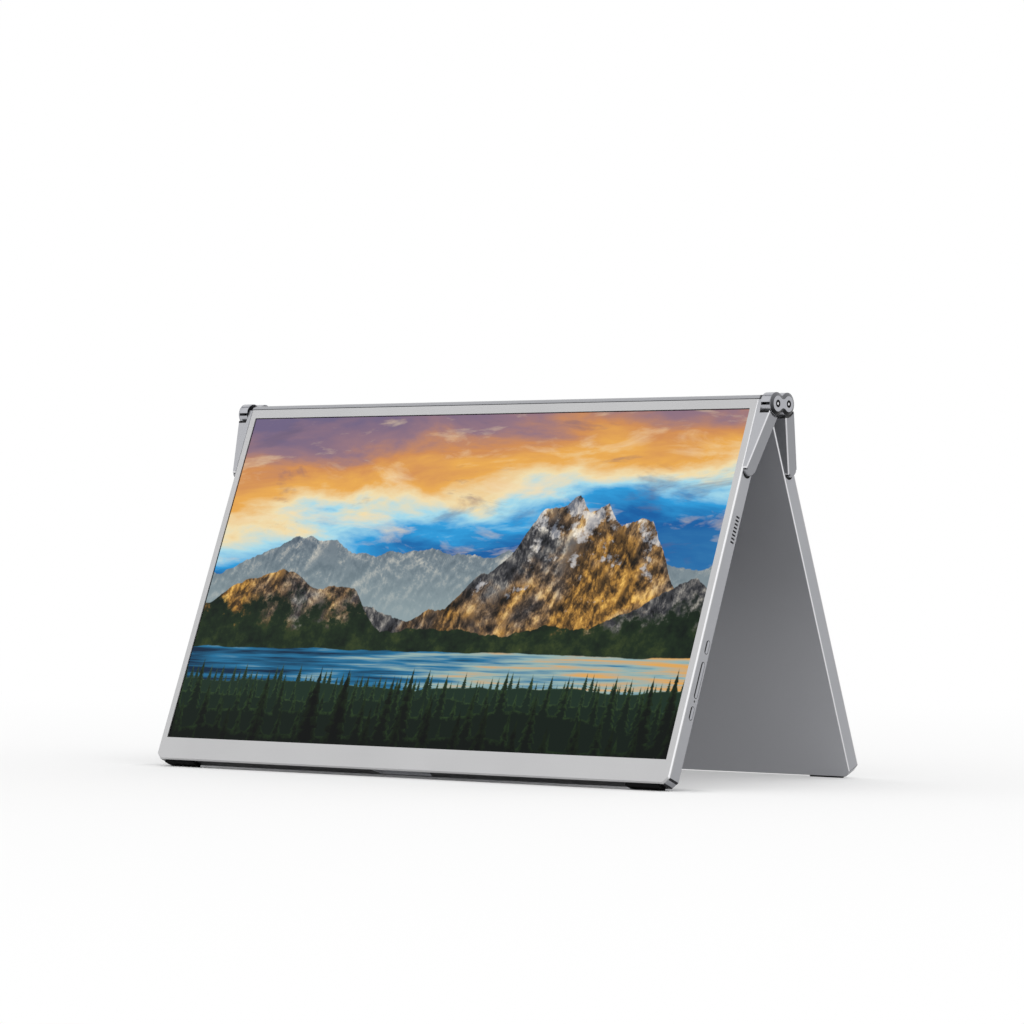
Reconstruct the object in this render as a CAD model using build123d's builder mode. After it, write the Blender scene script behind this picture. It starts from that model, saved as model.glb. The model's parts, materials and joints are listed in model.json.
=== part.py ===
"""Dual portable monitor: two slim 15.6 inch panels on a geared dual-axis hinge, standing as a tent.

Frame: X runs along the hinge, the front screen faces -Y, Z is up, and the origin lies on the
surface that the feet stand on, under the middle of the hinge. Sizes are in millimetres.
A panel's own plane has its origin at the middle of the screen face's bottom edge, with x along
the panel, y up the panel and z out of the screen. Depth is measured from that face into the panel.
"""
import os
from math import acos, cos, pi, radians, sin, tan

from build123d import *

os.makedirs("parts", exist_ok=True)

# The screen
active_width = 344.16       # 15.6 inch, 16:9
active_height = 193.59
side_bezel = 4.77           # picture to the panel's side
bottom_bezel = 13.21        # picture to the panel's bottom edge
screen_top_margin = 4.8     # picture to the level of the hinge axis
black_edge = 0.4            # dark rim between the picture and the bezel
glass_thickness = 1.4
glass_side_margin = 2.8     # glass beyond the picture at each side
glass_top_margin = 1.3
glass_bottom_margin = 7.5
backlight_thickness = 1.6
backlight_inset = 0.4

# The panel
panel_thickness = 9.4
lean = 21.85                # each panel's lean from upright, degrees
corner_cut = 3.4            # flat cut across the two bottom corners
edge_chamfer = 0.7          # around the screen face
back_chamfer = 0.5          # around the back face
side_wall = 1.5
bottom_wall = 2.6
back_wall = 1.0
bezel_thickness = 1.2
bezel_lip = 0.6             # thickness of the bezel in front of the glass
bezel_over_axis = 0.75      # how far the bezel runs up onto the rounded top edge
seam_gap = 0.5              # dark seam between it and the shell's rounded edge
fit_gap = 0.1               # clearance all round a piece that drops into another
seat_gap = 0.05             # gap left under a piece that rests on another

# The hinge
axle_spacing = 9.9
axle_radius = 1.5
axle_flat = 1.1             # axis to the flat that keys the axle
axle_end_radius = 1.3       # the turned-down end that shows in the cap
running_gap = 0.05          # radial clearance of a turning axle
keyed_gap = 0.02            # radial clearance of a keyed axle
top_bore_radius = 2.4       # cable bore along the panel's rounded top edge
top_bore_wall = 0.8
spigot_length = 9.0         # how far the arm plugs into that bore
lobe_radius = 6.0           # hinge housing round each axle
waist_blend = 1.7           # radius that blends the two lobes
housing_wall = 0.45
link_plate_thickness = 0.8
link_plate_inset = 0.5      # its rim inside the barrel's outline
barrel_length = 4.9
barrel_slit = 1.1           # slit between the two barrel halves
cap_thickness = 1.3
cap_bevel_radial = 1.7
cap_bevel_axial = 0.8
cap_recess_radius = 1.8
cap_recess_depth = 0.5
gear_teeth = 14
gear_width = 2.5
gear_addendum = 0.4
gear_dedendum = 0.5
gear_backlash = 0.1
pressure_angle = radians(20)
washer_radius = 3.2

# The arms between the panels and the hinge
arm_length = 40.8           # hinge axis down to the arm's lower end
arm_foot_width = 1.9        # how far the lower end stands out from the panel's side
arm_head_width = 9.0        # the same under the housing
arm_head_drop = 4.0         # hinge axis down to where that width is measured
arm_strip = 2.2             # thickness of the strip that runs up beside the panel
arm_front_inset = 0.2       # arm face behind the screen face
arm_back_inset = 0.8        # arm face behind the panel's back face
arm_chamfer = 0.6
arm_end_radius = 4.1        # the lower end is a half round, seen from the side
arm_hub_radius = 3.2
arm_strip_top = 0.65        # how far the strip's front runs above the hinge axis
arm_strip_front = 2.0       # thickness of that front
arm_groove_drop = 38.5      # hinge axis down to the small groove near the lower end
arm_groove_width = 0.8
arm_groove_depth = 1.4
housing_gap = 1.3           # between the housing's lobes and the arm's hollow top
link_gap = 0.2              # between the arm's strip and the housing
leaf_reach = 16.0           # how far the arm's leaf runs into the panel
leaf_thickness = 1.5
leaf_depth = 5.8            # screen face to the leaf
leaf_top_drop = 14.0
leaf_bottom_drop = 34.0
pocket_depth = 0.7          # shallow seat in the panel's side that the arm sits in
pocket_inset = 0.95         # seat's edge from the panel's faces
pocket_end_gap = 1.3        # dark gap below the arm's lower end
screw_radius = 1.0
screw_head_radius = 1.9
screw_head_height = 0.8
screw_bite = 1.5            # how far a screw goes past the face it clamps on
boss_radius = 2.4

# The bottom edge
foot_length = 22.0
foot_width = 6.5
foot_from_side = 6.0
foot_depth = 1.5            # screen face to the foot
foot_proud = 1.4
foot_sunk = 0.8
foot_chamfer = 0.3
notch_length = 20.5         # finger notch at the middle, to each side
notch_depth = 1.2
notch_width = 6.2
notch_from_face = 1.3
notch_slant = 3.1

# Controls on the front panel's right side
control_depth = 6.1         # screen face to the middle of the control row
button_length = 6.9
button_width = 2.6
upper_button_height = 76.0
lower_button_height = 40.0
button_flange = 0.6
button_travel = 0.5
button_proud = 0.1
cap_gap = 0.3               # dark line round the buttons and the rocker
rocker_length = 19.3
rocker_height = 58.0
rocker_play = 0.3           # room over and under the rocker's flange
rocker_axle_radius = 0.5
light_height = 46.5
light_radius = 0.6
light_flange_radius = 1.1
board_thickness = 0.8
switch_height = 0.8
switch_size = 3.0

# Sound
slot_count = 8
slot_pitch = 2.0
slot_length = 3.0
slot_width = 1.0
slot_height = 141.0         # bottom edge to the middle of the row
slot_depth = 6.0            # screen face to the middle of the row
speaker_length = 32.0
speaker_reach = 11.0
speaker_height = 4.0

# Ports on the front panel's left side
usb_heights = (46.0, 62.0)
usb_width = 8.94
usb_thickness = 3.26
port_gap = 0.15
hdmi_height = 80.0
hdmi_width = 11.2
hdmi_thickness = 3.3
port_length = 7.4
port_skin = 0.3
port_sunk = 0.2             # port mouth behind the panel's side
tongue_thickness = 0.7
jack_height = 26.0
jack_bore_radius = 1.8
jack_body = 4.3
jack_width = 7.0
jack_length = 12.0

# Circuit boards lying on the back wall
controller_width = 78.0
controller_low = 31.0
controller_high = 108.0
driver_width = 120.0
driver_low = 16.0
driver_high = 44.0
pad_height = 0.4
pad_radius = 1.9
board_screw_radius = 0.8
board_screw_head_radius = 1.5
board_screw_head_height = 0.5
board_edge = 4.0            # board screw from the board's edges
chip_thickness = 1.2

# Small hidden rounds are drawn with flat sides, so that the model stays light
pin_sides = 16
screw_sides = 6

# Places worked out from the sizes above
panel_width = active_width + 2 * side_bezel
pin_height = bottom_bezel + active_height + screen_top_margin   # bottom edge to hinge axis, along the panel
half_width = panel_width / 2
half_thickness = panel_thickness / 2
lean_cos = cos(radians(lean))
lean_sin = sin(radians(lean))
foot_contact_depth = foot_depth + foot_width - foot_chamfer
axis_height = (pin_height + foot_proud) * lean_cos + (foot_contact_depth - half_thickness) * lean_sin
front_y = -axle_spacing / 2 - pin_height * lean_sin - half_thickness * lean_cos
front_z = axis_height - pin_height * lean_cos + half_thickness * lean_sin
cavity_floor = panel_thickness - back_wall
cavity_top = pin_height - top_bore_radius - top_bore_wall
cavity_half_width = half_width - side_wall
screen_middle = pin_height - screen_top_margin - active_height / 2
glass_low = screen_middle - active_height / 2 - glass_bottom_margin
glass_high = screen_middle + active_height / 2 + glass_top_margin
glass_width = active_width + 2 * glass_side_margin
backlight_front = bezel_lip + glass_thickness
housing_start = half_width + arm_strip + link_gap
barrel_start = housing_start + link_plate_thickness
cap_start = barrel_start + barrel_length
housing_end = cap_start + cap_thickness
gear_start = cap_start - gear_width - 2 * seat_gap
board_depth = cavity_floor - pad_height - board_thickness
leaf_high = pin_height - leaf_top_drop
leaf_low = pin_height - leaf_bottom_drop
leaf_screw_x = cavity_half_width - leaf_reach / 2
leaf_screw_heights = (leaf_low + leaf_reach / 4, leaf_high - leaf_reach / 4)
switch_board_start = side_wall + 2 * fit_gap + button_flange + button_travel + switch_height
button_heights = (lower_button_height, upper_button_height)
usb_depth = board_depth - usb_thickness / 2 - seat_gap
hdmi_depth = board_depth - hdmi_thickness / 2 - seat_gap
jack_depth = cavity_floor - seat_gap - jack_body / 2

front_panel = Plane(origin=(0, front_y, front_z), x_dir=(1, 0, 0), z_dir=(0, -lean_cos, lean_sin))
rear_panel = Plane(origin=(0, -front_y, front_z), x_dir=(-1, 0, 0), z_dir=(0, lean_cos, lean_sin))
panels = {"front": front_panel, "rear": rear_panel}


def write(name, part):
    """Label a finished piece and write it as its own STEP file."""
    part.label = name
    export_step(part, f"parts/{name}.step")


def mirrored(part, about):
    """The same piece on the other side of a plane."""
    with BuildPart() as twin:
        mirror(part, about=about)
    return twin.part


def write_left_and_right(name, part):
    """A piece of the right-hand hinge and its mirror image on the left, as two files."""
    write(f"{name}_right", part)
    write(f"{name}_left", mirrored(part, Plane.YZ))


def write_pair(name, part):
    """The same two pieces in one file."""
    with BuildPart() as pair:
        add(part)
        mirror(part, about=Plane.YZ)
    write(name, pair.part)


def side_plane(panel, inward=0.0):
    """A plane facing out of the panel's right side, centred on the hinge axis, its x up the panel."""
    origin = panel.from_local_coords((half_width - inward, pin_height, -half_thickness))
    return Plane(origin=origin, x_dir=panel.y_dir, z_dir=panel.x_dir)


def on_side(height, depth):
    """A point of a side plane: height above the bottom edge, depth behind the screen face."""
    return (height - pin_height, half_thickness - depth)


def left_side_plane(panel, inward=0.0):
    """The same for the left side: its x runs down the panel, so that its y still faces the screen."""
    origin = panel.from_local_coords((inward - half_width, pin_height, -half_thickness))
    return Plane(origin=origin, x_dir=-panel.y_dir, z_dir=-panel.x_dir)


def on_left_side(height, depth):
    """A point of a left side plane, from the same two measures."""
    return (pin_height - height, half_thickness - depth)


def bottom_plane(panel):
    """A plane facing out of the bottom edge, centred on the panel's thickness."""
    origin = panel.from_local_coords((0, 0, -half_thickness))
    return Plane(origin=origin, x_dir=panel.x_dir, z_dir=-panel.y_dir)


def across(position):
    """A plane square to the hinge at a position along X, centred between the two axles."""
    return Plane(origin=(position, 0, axis_height), x_dir=(0, 1, 0), z_dir=(1, 0, 0))


def panel_outline():
    """The panel up to the hinge axis, with its bottom corners cut."""
    with BuildSketch(mode=Mode.PRIVATE) as outline:
        with Locations((0, pin_height / 2)):
            Rectangle(panel_width, pin_height)
        chamfer(outline.vertices().group_by(Axis.Y)[0], corner_cut)
    add(outline.sketch)


def back_shell(panel, board_places, openings=None):
    """Aluminium tray: rounded top edge with a cable bore, hollow for the screen and the boards."""
    middle = side_plane(panel)
    clamp, seat = leaf_depth + leaf_thickness, board_depth + board_thickness
    with BuildPart() as shell:
        with BuildSketch(panel.offset(-bezel_thickness)):
            panel_outline()
        extrude(amount=bezel_thickness - panel_thickness)
        back_edges = shell.faces().sort_by(Axis(panel.origin, panel.z_dir))[0].edges()
        top_line = back_edges.sort_by(Axis(panel.origin, panel.y_dir))[-1]
        chamfer(back_edges.filter_by(lambda edge: edge != top_line), back_chamfer)
        with BuildSketch(middle):
            with BuildLine():
                CenterArc((0, 0), half_thickness, -90, 180)
                Line((0, half_thickness), (0, -half_thickness))
            make_face()
            seam_top = bezel_over_axis + seam_gap
            with Locations((seam_top / 2, half_thickness - bezel_thickness / 2)):
                Rectangle(seam_top, bezel_thickness, mode=Mode.SUBTRACT)
        extrude(amount=-panel_width)
        with BuildSketch(panel.offset(-bezel_thickness)):
            with Locations((0, (bottom_wall + cavity_top) / 2)):
                Rectangle(2 * cavity_half_width, cavity_top - bottom_wall)
        extrude(amount=bezel_thickness - cavity_floor, mode=Mode.SUBTRACT)
        with BuildSketch(middle):
            Circle(top_bore_radius)
        extrude(amount=-panel_width, mode=Mode.SUBTRACT)
        add(studs(panel, screw_places(), clamp, cavity_floor, boss_radius))
        add(studs(panel, board_places, seat, cavity_floor, pad_radius))
        add(studs(panel, screw_places(), clamp, clamp + screw_bite, screw_radius + keyed_gap), mode=Mode.SUBTRACT)
        add(studs(panel, board_places, seat, cavity_floor + back_wall / 2, board_screw_radius + keyed_gap),
            mode=Mode.SUBTRACT)
        add(arm_seats(panel), mode=Mode.SUBTRACT)
        add(bottom_cuts(panel), mode=Mode.SUBTRACT)
        if openings:
            add(openings, mode=Mode.SUBTRACT)
    return shell.part


def screw_places():
    """Where the two arms' leaves are screwed down, on the panel's plane."""
    return [(side * leaf_screw_x, height) for side in (1, -1) for height in leaf_screw_heights]


def studs(panel, places, start, end, radius):
    """Bosses, pads or screw holes between two depths, at places on the panel's plane."""
    with BuildPart() as group:
        with BuildSketch(panel.offset(-start)):
            with Locations(*places):
                RegularPolygon(radius, screw_sides)
        extrude(amount=start - end)
    return group.part


def arm_seats(panel):
    """The shallow pocket in each side that the arm sits in, and the slot that its leaf passes."""
    low = pin_height - arm_length - pocket_end_gap
    with BuildPart() as cuts:
        for plane, place in ((side_plane(panel), on_side), (left_side_plane(panel), on_left_side)):
            with BuildSketch(plane):
                seat_radius = half_thickness - pocket_inset
                with Locations(place((low + seat_radius + pin_height) / 2, half_thickness)):
                    Rectangle(pin_height - low - seat_radius, 2 * seat_radius)
                with Locations(place(low + seat_radius, half_thickness)):
                    RegularPolygon(seat_radius, pin_sides)
            extrude(amount=-pocket_depth)
            with BuildSketch(plane):
                with Locations(place((leaf_low + leaf_high) / 2, leaf_depth + leaf_thickness / 2)):
                    Rectangle(leaf_high - leaf_low + 2 * fit_gap, leaf_thickness + 2 * fit_gap)
            extrude(amount=-side_wall)
    return cuts.part


def bottom_cuts(panel):
    """Two recesses for the feet and the finger notch between them, with its slanted ends."""
    bottom = bottom_plane(panel)
    front = half_thickness - notch_from_face
    back = front - notch_width
    wide, narrow = notch_length, notch_length - notch_slant
    with BuildPart() as cuts:
        with BuildSketch(bottom):
            with Locations(*foot_places()):
                Rectangle(foot_length + 2 * fit_gap, foot_width + 2 * fit_gap)
        extrude(amount=-foot_sunk)
        with BuildSketch(bottom):
            with BuildLine():
                Polyline((-wide, front), (wide, front), (narrow, back), (-narrow, back), close=True)
            make_face()
        extrude(amount=-notch_depth)
    return cuts.part


def foot_places():
    """The middles of the two feet on the bottom plane."""
    x = half_width - foot_from_side - foot_length / 2
    y = half_thickness - foot_depth - foot_width / 2
    return [(x, y), (-x, y)]


def sound_slots(place):
    """A row of sound slots, drawn on a side plane."""
    for index in range(slot_count):
        height = slot_height + (index - (slot_count - 1) / 2) * slot_pitch
        with Locations(place(height, slot_depth)):
            Rectangle(slot_width, slot_length)


def side_openings(panel):
    """Controls and sound slots on the front panel's right side, ports and slots on its left."""
    with BuildPart() as cuts:
        with BuildSketch(side_plane(panel)):
            with Locations(*[on_side(height, control_depth) for height in button_heights]):
                SlotOverall(button_length + 2 * cap_gap, button_width + 2 * cap_gap)
            with Locations(on_side(rocker_height, control_depth)):
                SlotOverall(rocker_length + 2 * cap_gap, button_width + 2 * cap_gap)
            with Locations(on_side(light_height, control_depth)):
                Circle(light_radius + running_gap)
            sound_slots(on_side)
        extrude(amount=-side_wall)
        with BuildSketch(left_side_plane(panel)):
            with Locations(*[on_left_side(height, usb_depth) for height in usb_heights]):
                SlotOverall(usb_width + 2 * port_gap, usb_thickness + 2 * port_gap)
            with Locations(on_left_side(hdmi_height, hdmi_depth)):
                Rectangle(hdmi_width + 2 * port_gap, hdmi_thickness + 2 * port_gap)
            with Locations(on_left_side(jack_height, jack_depth)):
                Circle(jack_bore_radius)
            sound_slots(on_left_side)
        extrude(amount=-side_wall)
    return cuts.part


def bezel(panel):
    """Front frame: one sheet that follows the rounded top, with a chamfered edge, a window and a step for the glass."""
    with BuildPart() as frame:
        with BuildSketch(panel):
            panel_outline()
        extrude(amount=-bezel_thickness)
        with BuildSketch(side_plane(panel)):
            with Locations((bezel_over_axis / 2, half_thickness - bezel_thickness / 2)):
                Rectangle(bezel_over_axis, bezel_thickness)
            Circle(half_thickness, mode=Mode.INTERSECT)
        extrude(amount=-panel_width)
        face_edges = frame.faces().sort_by(Axis(panel.origin, panel.z_dir))[-1].edges()
        top_line = face_edges.sort_by(Axis(panel.origin, panel.y_dir))[-1]
        chamfer(face_edges.filter_by(lambda edge: edge != top_line), edge_chamfer)
        with BuildSketch(panel):
            with Locations((0, screen_middle)):
                Rectangle(active_width + 2 * black_edge, active_height + 2 * black_edge)
        extrude(amount=-bezel_thickness, mode=Mode.SUBTRACT)
        with BuildSketch(panel.offset(-bezel_lip)):
            with Locations((0, (glass_low + glass_high) / 2)):
                Rectangle(glass_width + 2 * fit_gap, glass_high - glass_low + 2 * fit_gap)
        extrude(amount=bezel_lip - bezel_thickness, mode=Mode.SUBTRACT)
    return frame.part


def display(panel):
    """The LCD cell behind the bezel's lip."""
    with BuildPart() as glass:
        with BuildSketch(panel.offset(-bezel_lip)):
            with Locations((0, (glass_low + glass_high) / 2)):
                Rectangle(glass_width, glass_high - glass_low)
        extrude(amount=-glass_thickness)
    return glass.part


def backlight(panel):
    """Light guide with its reflector, behind the LCD cell, and the LED bar along its low edge."""
    low, high = glass_low + backlight_inset, glass_high - backlight_inset
    with BuildPart() as light:
        with BuildSketch(panel.offset(-backlight_front)):
            with Locations((0, (low + high) / 2)):
                Rectangle(glass_width - 2 * backlight_inset, high - low)
        extrude(amount=-backlight_thickness)
        with BuildSketch(panel.offset(-backlight_front - backlight_thickness)):
            with Locations((0, low + glass_bottom_margin / 2)):
                Rectangle(active_width, glass_bottom_margin)
        extrude(amount=-board_thickness / 2)
    return light.part


def feet(panel):
    """Two rubber strips set into the bottom edge."""
    bottom = bottom_plane(panel)
    with BuildPart() as pair:
        with BuildSketch(bottom.offset(-foot_sunk + seat_gap)):
            with Locations(*foot_places()):
                Rectangle(foot_length, foot_width)
        extrude(amount=foot_sunk - seat_gap + foot_proud)
        undersides = pair.faces().filter_by(bottom).group_by(Axis(bottom.origin, bottom.z_dir))[-1]
        chamfer(undersides.edges(), foot_chamfer)
    return pair.part


def screws(panel, places, clamp_depth, tip_depth, radius, head_radius, head_height):
    """A set of screws driven from the screen's side."""
    with BuildPart() as group:
        add(studs(panel, places, clamp_depth - head_height, clamp_depth, head_radius))
        add(studs(panel, places, clamp_depth, tip_depth, radius))
    return group.part


def board_corners(low, high, middle, width):
    """The four screw places of a board, on the panel's plane."""
    reach = width / 2 - board_edge
    return [(middle + side * reach, height) for side in (1, -1) for height in (low + board_edge, high - board_edge)]


def circuit_board(panel, low, high, middle, width, chips):
    """A board on its pads, with its larger chips soldered on."""
    places = board_corners(low, high, middle, width)
    with BuildPart() as board:
        with BuildSketch(panel.offset(-board_depth)):
            with Locations((middle, (low + high) / 2)):
                Rectangle(width, high - low)
            with Locations(*places):
                RegularPolygon(board_screw_radius + running_gap, screw_sides, mode=Mode.SUBTRACT)
        extrude(amount=-board_thickness)
        with BuildSketch(panel.offset(-board_depth)):
            for x, y, chip_width, chip_height in chips:
                with Locations((middle + x, (low + high) / 2 + y)):
                    Rectangle(chip_width, chip_height)
        extrude(amount=chip_thickness)
    return board.part


def keyway(mode):
    """The D-shaped hole that an axle is keyed in, drawn round the present place."""
    with BuildSketch(mode=Mode.PRIVATE) as hole:
        RegularPolygon(axle_radius + keyed_gap, pin_sides, major_radius=False)
        with Locations((0, axle_flat + keyed_gap + axle_radius / 2)):
            Rectangle(4 * axle_radius, axle_radius, mode=Mode.SUBTRACT)
    add(hole.sketch, mode=mode)


def peanut(radius=lobe_radius):
    """The housing's outline: two lobes blended at the waist."""
    with BuildSketch(mode=Mode.PRIVATE) as outline:
        with Locations((-axle_spacing / 2, 0), (axle_spacing / 2, 0)):
            Circle(radius)
        fillet(outline.vertices(), waist_blend)
    add(outline.sketch)


def hinge_cap():
    """End cap: bevelled rim, and a recess round each axle's end."""
    axles = [(-axle_spacing / 2, 0), (axle_spacing / 2, 0)]
    with BuildPart() as cap:
        with BuildSketch(across(cap_start)):
            peanut()
        extrude(amount=cap_thickness)
        outer = cap.faces().sort_by(Axis.X)[-1]
        chamfer(outer.outer_wire().edges(), cap_bevel_radial, cap_bevel_axial, reference=outer)
        with BuildSketch(across(housing_end)):
            with Locations(*axles):
                Circle(cap_recess_radius)
        extrude(amount=-cap_recess_depth, mode=Mode.SUBTRACT)
        with BuildSketch(across(housing_end)):
            with Locations(*axles):
                RegularPolygon(axle_end_radius + running_gap, pin_sides, major_radius=False)
        extrude(amount=-cap_thickness, mode=Mode.SUBTRACT)
    return cap.part


def barrel_half(side):
    """Half of the housing's barrel, above (side 1) or below (side -1) the axles."""
    tall = lobe_radius * 2
    with BuildPart() as half:
        with BuildSketch(across(housing_start)):
            peanut()
            with Locations((-axle_spacing / 2, 0), (axle_spacing / 2, 0)):
                RegularPolygon(lobe_radius - housing_wall, pin_sides, major_radius=False, mode=Mode.SUBTRACT)
            with Locations((0, side * (barrel_slit - tall) / 2)):
                Rectangle(2 * (axle_spacing + lobe_radius), tall, mode=Mode.SUBTRACT)
        extrude(amount=link_plate_thickness + barrel_length)
    return half.part


def link_plate():
    """Steel plate that holds the two axles at their spacing."""
    with BuildPart() as plate:
        with BuildSketch(across(housing_start)):
            with Locations((-axle_spacing / 2, 0), (axle_spacing / 2, 0)):
                RegularPolygon(lobe_radius - link_plate_inset, pin_sides, major_radius=False)
        extrude(amount=link_plate_thickness)
        with BuildSketch(across(housing_start)):
            with Locations((-axle_spacing / 2, 0), (axle_spacing / 2, 0)):
                RegularPolygon(axle_radius + running_gap, pin_sides, major_radius=False)
        extrude(amount=link_plate_thickness, mode=Mode.SUBTRACT)
    return plate.part


def friction_washers():
    """The two packed stacks of friction washers between the link plate and the gears."""
    with BuildPart() as stacks:
        with BuildSketch(across(barrel_start + seat_gap)):
            with Locations((-axle_spacing / 2, 0), (axle_spacing / 2, 0)):
                RegularPolygon(washer_radius, pin_sides)
                RegularPolygon(axle_radius + running_gap, pin_sides, major_radius=False, mode=Mode.SUBTRACT)
        extrude(amount=gear_start - barrel_start - 2 * seat_gap)
    return stacks.part


def tooth_points(phase):
    """Involute teeth round the pitch circle, whose radius is half the axle spacing."""
    pitch = axle_spacing / 2
    base = pitch * cos(pressure_angle)
    root, tip = pitch - gear_dedendum, pitch + gear_addendum
    half_tooth = (pi / gear_teeth - gear_backlash / pitch) / 2

    def half_angle(radius):
        slope = acos(min(1.0, base / radius))
        return half_tooth + tan(pressure_angle) - pressure_angle - (tan(slope) - slope)

    rising = [(root, half_angle(base)), (pitch, half_tooth), (tip, half_angle(tip))]
    points = []
    for tooth in range(gear_teeth):
        centre = 2 * pi * tooth / gear_teeth + phase
        flanks = [(radius, centre - angle) for radius, angle in rising]
        flanks += [(radius, centre + angle) for radius, angle in reversed(rising)]
        points += [(radius * cos(angle), radius * sin(angle)) for radius, angle in flanks]
    return points


def sync_gear(side, phase):
    """Gear keyed on the front (side -1) or rear (side 1) axle."""
    with BuildPart() as gear:
        with BuildSketch(across(gear_start)):
            with Locations((side * axle_spacing / 2, 0)):
                Polygon(*tooth_points(phase), align=None)
                keyway(Mode.SUBTRACT)
        extrude(amount=gear_width)
    return gear.part


def axle():
    """The front right axle: a D-shaped pin, keyed in the arm and in the gear, with a round end in the cap."""
    start = half_width - spigot_length + fit_gap
    with BuildPart() as pin:
        with BuildSketch(across(start)):
            with Locations((-axle_spacing / 2, 0)):
                RegularPolygon(axle_radius, pin_sides)
            with Locations((-axle_spacing / 2, axle_flat + axle_radius / 2)):
                Rectangle(2 * axle_radius, axle_radius, mode=Mode.SUBTRACT)
        extrude(amount=cap_start - seat_gap - start)
        with BuildSketch(across(cap_start - seat_gap)):
            with Locations((-axle_spacing / 2, 0)):
                RegularPolygon(axle_end_radius, pin_sides)
        extrude(amount=cap_thickness)
        chamfer(pin.faces().sort_by(Axis.X)[-1].edges(), axle_end_radius / 4)
    return pin.part


def hinge_arm():
    """The front right arm: a flared wedge with a hollow top, a hub, a spigot and a screwed leaf."""
    panel = front_panel
    arm_depth = panel_thickness - arm_front_inset - arm_back_inset
    low = pin_height - arm_length
    high = pin_height - arm_head_drop
    with BuildPart() as arm:
        with BuildSketch(panel.offset(-arm_front_inset)):
            with BuildLine():
                Polyline((half_width, low), (half_width + arm_foot_width, low),
                         (half_width + arm_head_width, high), (half_width, high), close=True)
            make_face()
        extrude(amount=-arm_depth)
        corners = arm.edges().filter_by(Axis.X).group_by(Axis(panel.origin, panel.y_dir))[0]
        fillet(corners, arm_end_radius)
        slanted = arm.faces().sort_by(Axis.X)[-1]
        head = slanted.edges().sort_by(Axis(panel.origin, panel.y_dir))[-1]
        chamfer(slanted.edges().filter_by(lambda edge: edge != head), arm_chamfer)
        with BuildSketch(side_plane(panel, inward=-arm_strip)):
            Circle(lobe_radius + housing_gap)
        extrude(amount=arm_head_width, mode=Mode.SUBTRACT)
        with BuildSketch(side_plane(panel)):
            with BuildSketch(mode=Mode.PRIVATE) as strip:
                Circle(arm_hub_radius)
                with BuildLine():
                    Polyline(on_side(high - arm_head_drop, arm_front_inset), on_side(high, arm_front_inset),
                             on_side(high, arm_front_inset + arm_depth),
                             on_side(high - arm_head_drop, arm_front_inset + arm_depth), close=True)
                make_face()
                make_hull()
            add(strip.sketch)
            block = arm_strip_top + 2 * arm_head_drop
            with Locations((arm_strip_top - block / 2, half_thickness - arm_front_inset - arm_strip_front / 2)):
                Rectangle(block, arm_strip_front)
        extrude(amount=arm_strip)
        with BuildSketch(side_plane(panel, inward=side_wall)):
            with Locations(on_side((leaf_low + leaf_high) / 2, leaf_depth + leaf_thickness / 2)):
                Rectangle(leaf_high - leaf_low, leaf_thickness)
        extrude(amount=side_wall)
        with BuildSketch(panel.offset(-leaf_depth)):
            with Locations((cavity_half_width - leaf_reach / 2, (leaf_low + leaf_high) / 2)):
                Rectangle(leaf_reach, leaf_high - leaf_low)
            with Locations(*[(leaf_screw_x, height) for height in leaf_screw_heights]):
                RegularPolygon(screw_radius + keyed_gap, screw_sides, mode=Mode.SUBTRACT)
        extrude(amount=-leaf_thickness)
        with BuildSketch(side_plane(panel)):
            RegularPolygon(top_bore_radius - running_gap, pin_sides)
        extrude(amount=-spigot_length)
        with BuildSketch(across(half_width - spigot_length)):
            with Locations((-axle_spacing / 2, 0)):
                keyway(Mode.ADD)
        extrude(amount=spigot_length + arm_strip, mode=Mode.SUBTRACT)
        with BuildSketch(side_plane(panel)):
            for face in (arm_front_inset, panel_thickness - arm_back_inset):
                with Locations(on_side(pin_height - arm_groove_drop, face)):
                    Rectangle(arm_groove_width, 2 * arm_groove_depth)
        extrude(amount=arm_head_width, mode=Mode.SUBTRACT)
    return arm.part


def side_button(height):
    """A button in the right side: a rounded cap on a flange that keeps it behind the wall."""
    panel = front_panel
    with BuildPart() as button:
        with BuildSketch(side_plane(panel, inward=side_wall + fit_gap)):
            with Locations(on_side(height, control_depth)):
                SlotOverall(button_length, button_width)
        extrude(amount=side_wall + fit_gap + button_proud)
        chamfer(button.faces().sort_by(Axis.X)[-1].edges(), button_proud)
        with BuildSketch(side_plane(panel, inward=side_wall + fit_gap)):
            with Locations(on_side(height, control_depth)):
                Rectangle(button_length + 2 * button_flange, button_width + 2 * button_flange)
        extrude(amount=-button_flange)
    return button.part


def rocker():
    """The long rocker bar, its flange and the small axle that it tips on."""
    panel = front_panel
    flange_top = side_wall + rocker_play
    with BuildPart() as bar:
        with BuildSketch(side_plane(panel, inward=flange_top)):
            with Locations(on_side(rocker_height, control_depth)):
                SlotOverall(rocker_length, button_width)
        extrude(amount=flange_top + button_proud)
        chamfer(bar.faces().sort_by(Axis.X)[-1].edges(), button_proud)
        with BuildSketch(side_plane(panel, inward=flange_top)):
            with Locations(on_side(rocker_height, control_depth)):
                Rectangle(rocker_length, button_width + 2 * button_flange)
        extrude(amount=-rocker_axle_radius)
        with BuildSketch(rocker_axle_plane()):
            Circle(rocker_axle_radius)
        extrude(amount=(button_width + 2 * button_flange) / 2, both=True)
    return bar.part


def rocker_axle_plane():
    """A plane square to the rocker's axle, at the middle of its length."""
    inward = side_wall + rocker_play + rocker_axle_radius
    origin = front_panel.from_local_coords((half_width - inward, rocker_height, -control_depth))
    return Plane(origin=origin, x_dir=front_panel.x_dir, z_dir=front_panel.z_dir)


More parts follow.
